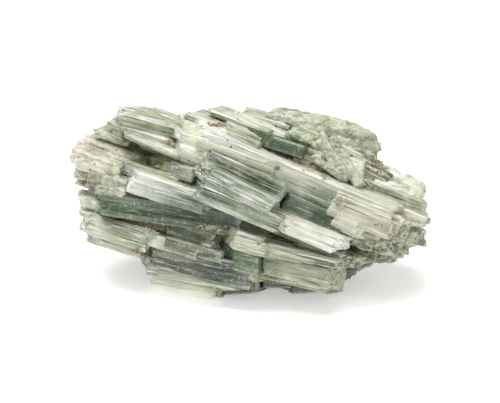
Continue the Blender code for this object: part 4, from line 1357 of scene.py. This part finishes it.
def joined_host(names):
    """A bare object with copies of the named pieces' meshes, to scatter on."""
    bm = bmesh.new()
    for name in names:
        bm.from_mesh(bpy.data.objects[name].data)
    mesh = bpy.data.meshes.new("host")
    bm.to_mesh(mesh)
    bm.free()
    host = bpy.data.objects.new("host", mesh)
    bpy.context.scene.collection.objects.link(host)
    return host


class TREMOLITE_OT_lay_fibres(bpy.types.Operator):
    """Lay loose fibres on the crystals' faces"""

    bl_idname = "tremolite.lay_fibres"
    bl_label = "Lay Fibres"

    def execute(self, context):
        sizes = context.scene.tremolite_sizes
        material = crystal_material("silky_tremolite")
        values = {
            "Density": sizes.fibre_density,
            "Length": sizes.fibre_length,
            "Width": sizes.fibre_width,
            "Seed": sizes.seed,
        }
        grown_by_nodes("loose_fibres", joined_host(FIBROUS_PIECES), fibre_tree(material), values, material)
        return {"FINISHED"}


class TREMOLITE_OT_strew_crumbs(bpy.types.Operator):
    """Strew crumbs on the whitened breaks"""

    bl_idname = "tremolite.strew_crumbs"
    bl_label = "Strew Crumbs"

    def execute(self, context):
        sizes = context.scene.tremolite_sizes
        material = crystal_material("silky_tremolite")
        values = {"Density": sizes.crumb_density, "Size": sizes.crumb_size, "Seed": sizes.seed}
        grown_by_nodes("break_crumbs", joined_host(FIBROUS_PIECES), crumb_tree(material), values, material)
        return {"FINISHED"}


class TREMOLITE_OT_strew_matrix(bpy.types.Operator):
    """Strew sandy and rusty grains in the hollows of the display side"""

    bl_idname = "tremolite.strew_matrix"
    bl_label = "Strew Matrix"

    def execute(self, context):
        host = joined_host(list(BUNDLES) + ["crevice_columns", "felted_heart"])
        bm = bmesh.new()
        bm.from_mesh(host.data)
        surface = BVHTree.FromBMesh(bm)
        bm.free()
        bpy.data.objects.remove(host)
        dice = random.Random("matrix")
        points, tints = [], []
        specks = [(*speck, SPECK_SPREAD, SPECK_SPREAD, 1, "speck") for speck in SPECKS]
        for across, rise, wide, high, count, tint in (*MATRIX_SPOTS, *specks):
            for _ in range(count):
                aside = dice.gauss(0, GRAIN_SPREAD) * wide
                above = dice.gauss(0, GRAIN_SPREAD) * high
                spot = placed(across + aside, rise + above, ABOVE_FACES)
                hit = surface.ray_cast(spot, -OUTWARD)[0]
                if hit is not None:
                    points.append(hit[:])
                    tints.append((*tint_of(tint) * dice.uniform(*GRAIN_SHADES), 1.0))
        mesh = bpy.data.meshes.new("grain_places")
        mesh.from_pydata(points, [], [])
        tint = mesh.attributes.new("tint", "FLOAT_COLOR", "POINT")
        tint.data.foreach_set("color", np.array(tints, dtype=np.float32).ravel())
        places = bpy.data.objects.new("grain_places", mesh)
        context.scene.collection.objects.link(places)
        sizes = context.scene.tremolite_sizes
        values = {"Size": sizes.grain_size, "Seed": sizes.seed}
        material = matrix_material()
        grown_by_nodes("matrix_grains", places, grain_tree(material), values, material)
        return {"FINISHED"}


class TREMOLITE_OT_set_stage(bpy.types.Operator):
    """Set the pale floor, the soft studio light and the display camera"""

    bl_idname = "tremolite.set_stage"
    bl_label = "Set Stage"

    def execute(self, context):
        scene = context.scene
        bm = bmesh.new()
        bmesh.ops.create_grid(bm, x_segments=1, y_segments=1, size=FLOOR_HALF)
        mesh = bpy.data.meshes.new("floor")
        bm.to_mesh(mesh)
        bm.free()
        material, tree, shader = new_material("pale_floor")
        inputs = {
            "Base Color": FLOOR_TINT,
            "Roughness": 0.9,
            "Emission Color": WHITE,
            "Emission Strength": FLOOR_GLOW,
        }
        feed(tree, shader, inputs)
        new_piece("floor", mesh, material)

        world = bpy.data.worlds.new("studio")
        world.use_nodes = True
        sky = world.node_tree.nodes["Background"]
        feed(world.node_tree, sky, {"Color": WHITE, "Strength": SKY_STRENGTH})
        scene.world = world
        for name, spot, size, power in LAMPS:
            data = bpy.data.lights.new(name, "AREA")
            data.size = size
            data.energy = power
            lamp = bpy.data.objects.new(name, data)
            lamp.location = spot
            lamp.rotation_mode = "QUATERNION"
            lamp.rotation_quaternion = (HEART - Vector(spot)).to_track_quat("-Z", "Y")
            scene.collection.objects.link(lamp)
        data = bpy.data.cameras.new("display_camera")
        data.sensor_width = SENSOR_WIDTH
        data.lens = CAMERA_LENS
        data.clip_start = 0.01
        camera = bpy.data.objects.new("display_camera", data)
        camera.location = HEART + OUTWARD * CAMERA_DISTANCE
        camera.rotation_mode = "QUATERNION"
        camera.rotation_quaternion = (-OUTWARD).to_track_quat("-Z", "Y")
        scene.collection.objects.link(camera)
        scene.camera = camera
        scene.view_settings.view_transform = "Standard"
        return {"FINISHED"}


OPERATORS = (
    TREMOLITE_OT_grow_columns,
    TREMOLITE_OT_grow_back,
    TREMOLITE_OT_grow_crevices,
    TREMOLITE_OT_grow_heart,
    TREMOLITE_OT_lay_fibres,
    TREMOLITE_OT_strew_crumbs,
    TREMOLITE_OT_strew_matrix,
    TREMOLITE_OT_set_stage,
)


class VIEW3D_PT_tremolite(bpy.types.Panel):
    """The specimen's steps, sizes and colours"""

    bl_idname = "VIEW3D_PT_tremolite"
    bl_label = "Tremolite Specimen"
    bl_space_type = "VIEW_3D"
    bl_region_type = "UI"
    bl_category = "Tremolite"

    def draw(self, context):
        layout = self.layout
        for operator in OPERATORS:
            layout.operator(operator.bl_idname)
        for group in (context.scene.tremolite_sizes, context.scene.tremolite_colours):
            box = layout.box()
            for setting in group.bl_rna.properties:
                if setting.identifier not in ("name", "rna_type"):
                    box.prop(group, setting.identifier)


CLASSES = (TremoliteColours, TremoliteSizes, *OPERATORS, VIEW3D_PT_tremolite)


def register():
    for cls in CLASSES:
        bpy.utils.register_class(cls)
    bpy.types.Scene.tremolite_colours = PointerProperty(type=TremoliteColours)
    bpy.types.Scene.tremolite_sizes = PointerProperty(type=TremoliteSizes)


def unregister():
    del bpy.types.Scene.tremolite_sizes
    del bpy.types.Scene.tremolite_colours
    for cls in reversed(CLASSES):
        bpy.utils.unregister_class(cls)


def main():
    register()
    for name in BUNDLES:
        bpy.ops.tremolite.grow_columns(piece=name)
    bpy.ops.tremolite.grow_back()
    bpy.ops.tremolite.grow_crevices()
    bpy.ops.tremolite.grow_heart()
    bpy.ops.tremolite.lay_fibres()
    bpy.ops.tremolite.strew_crumbs()
    bpy.ops.tremolite.strew_matrix()
    bpy.ops.tremolite.set_stage()


if __name__ == "__main__":
    main()
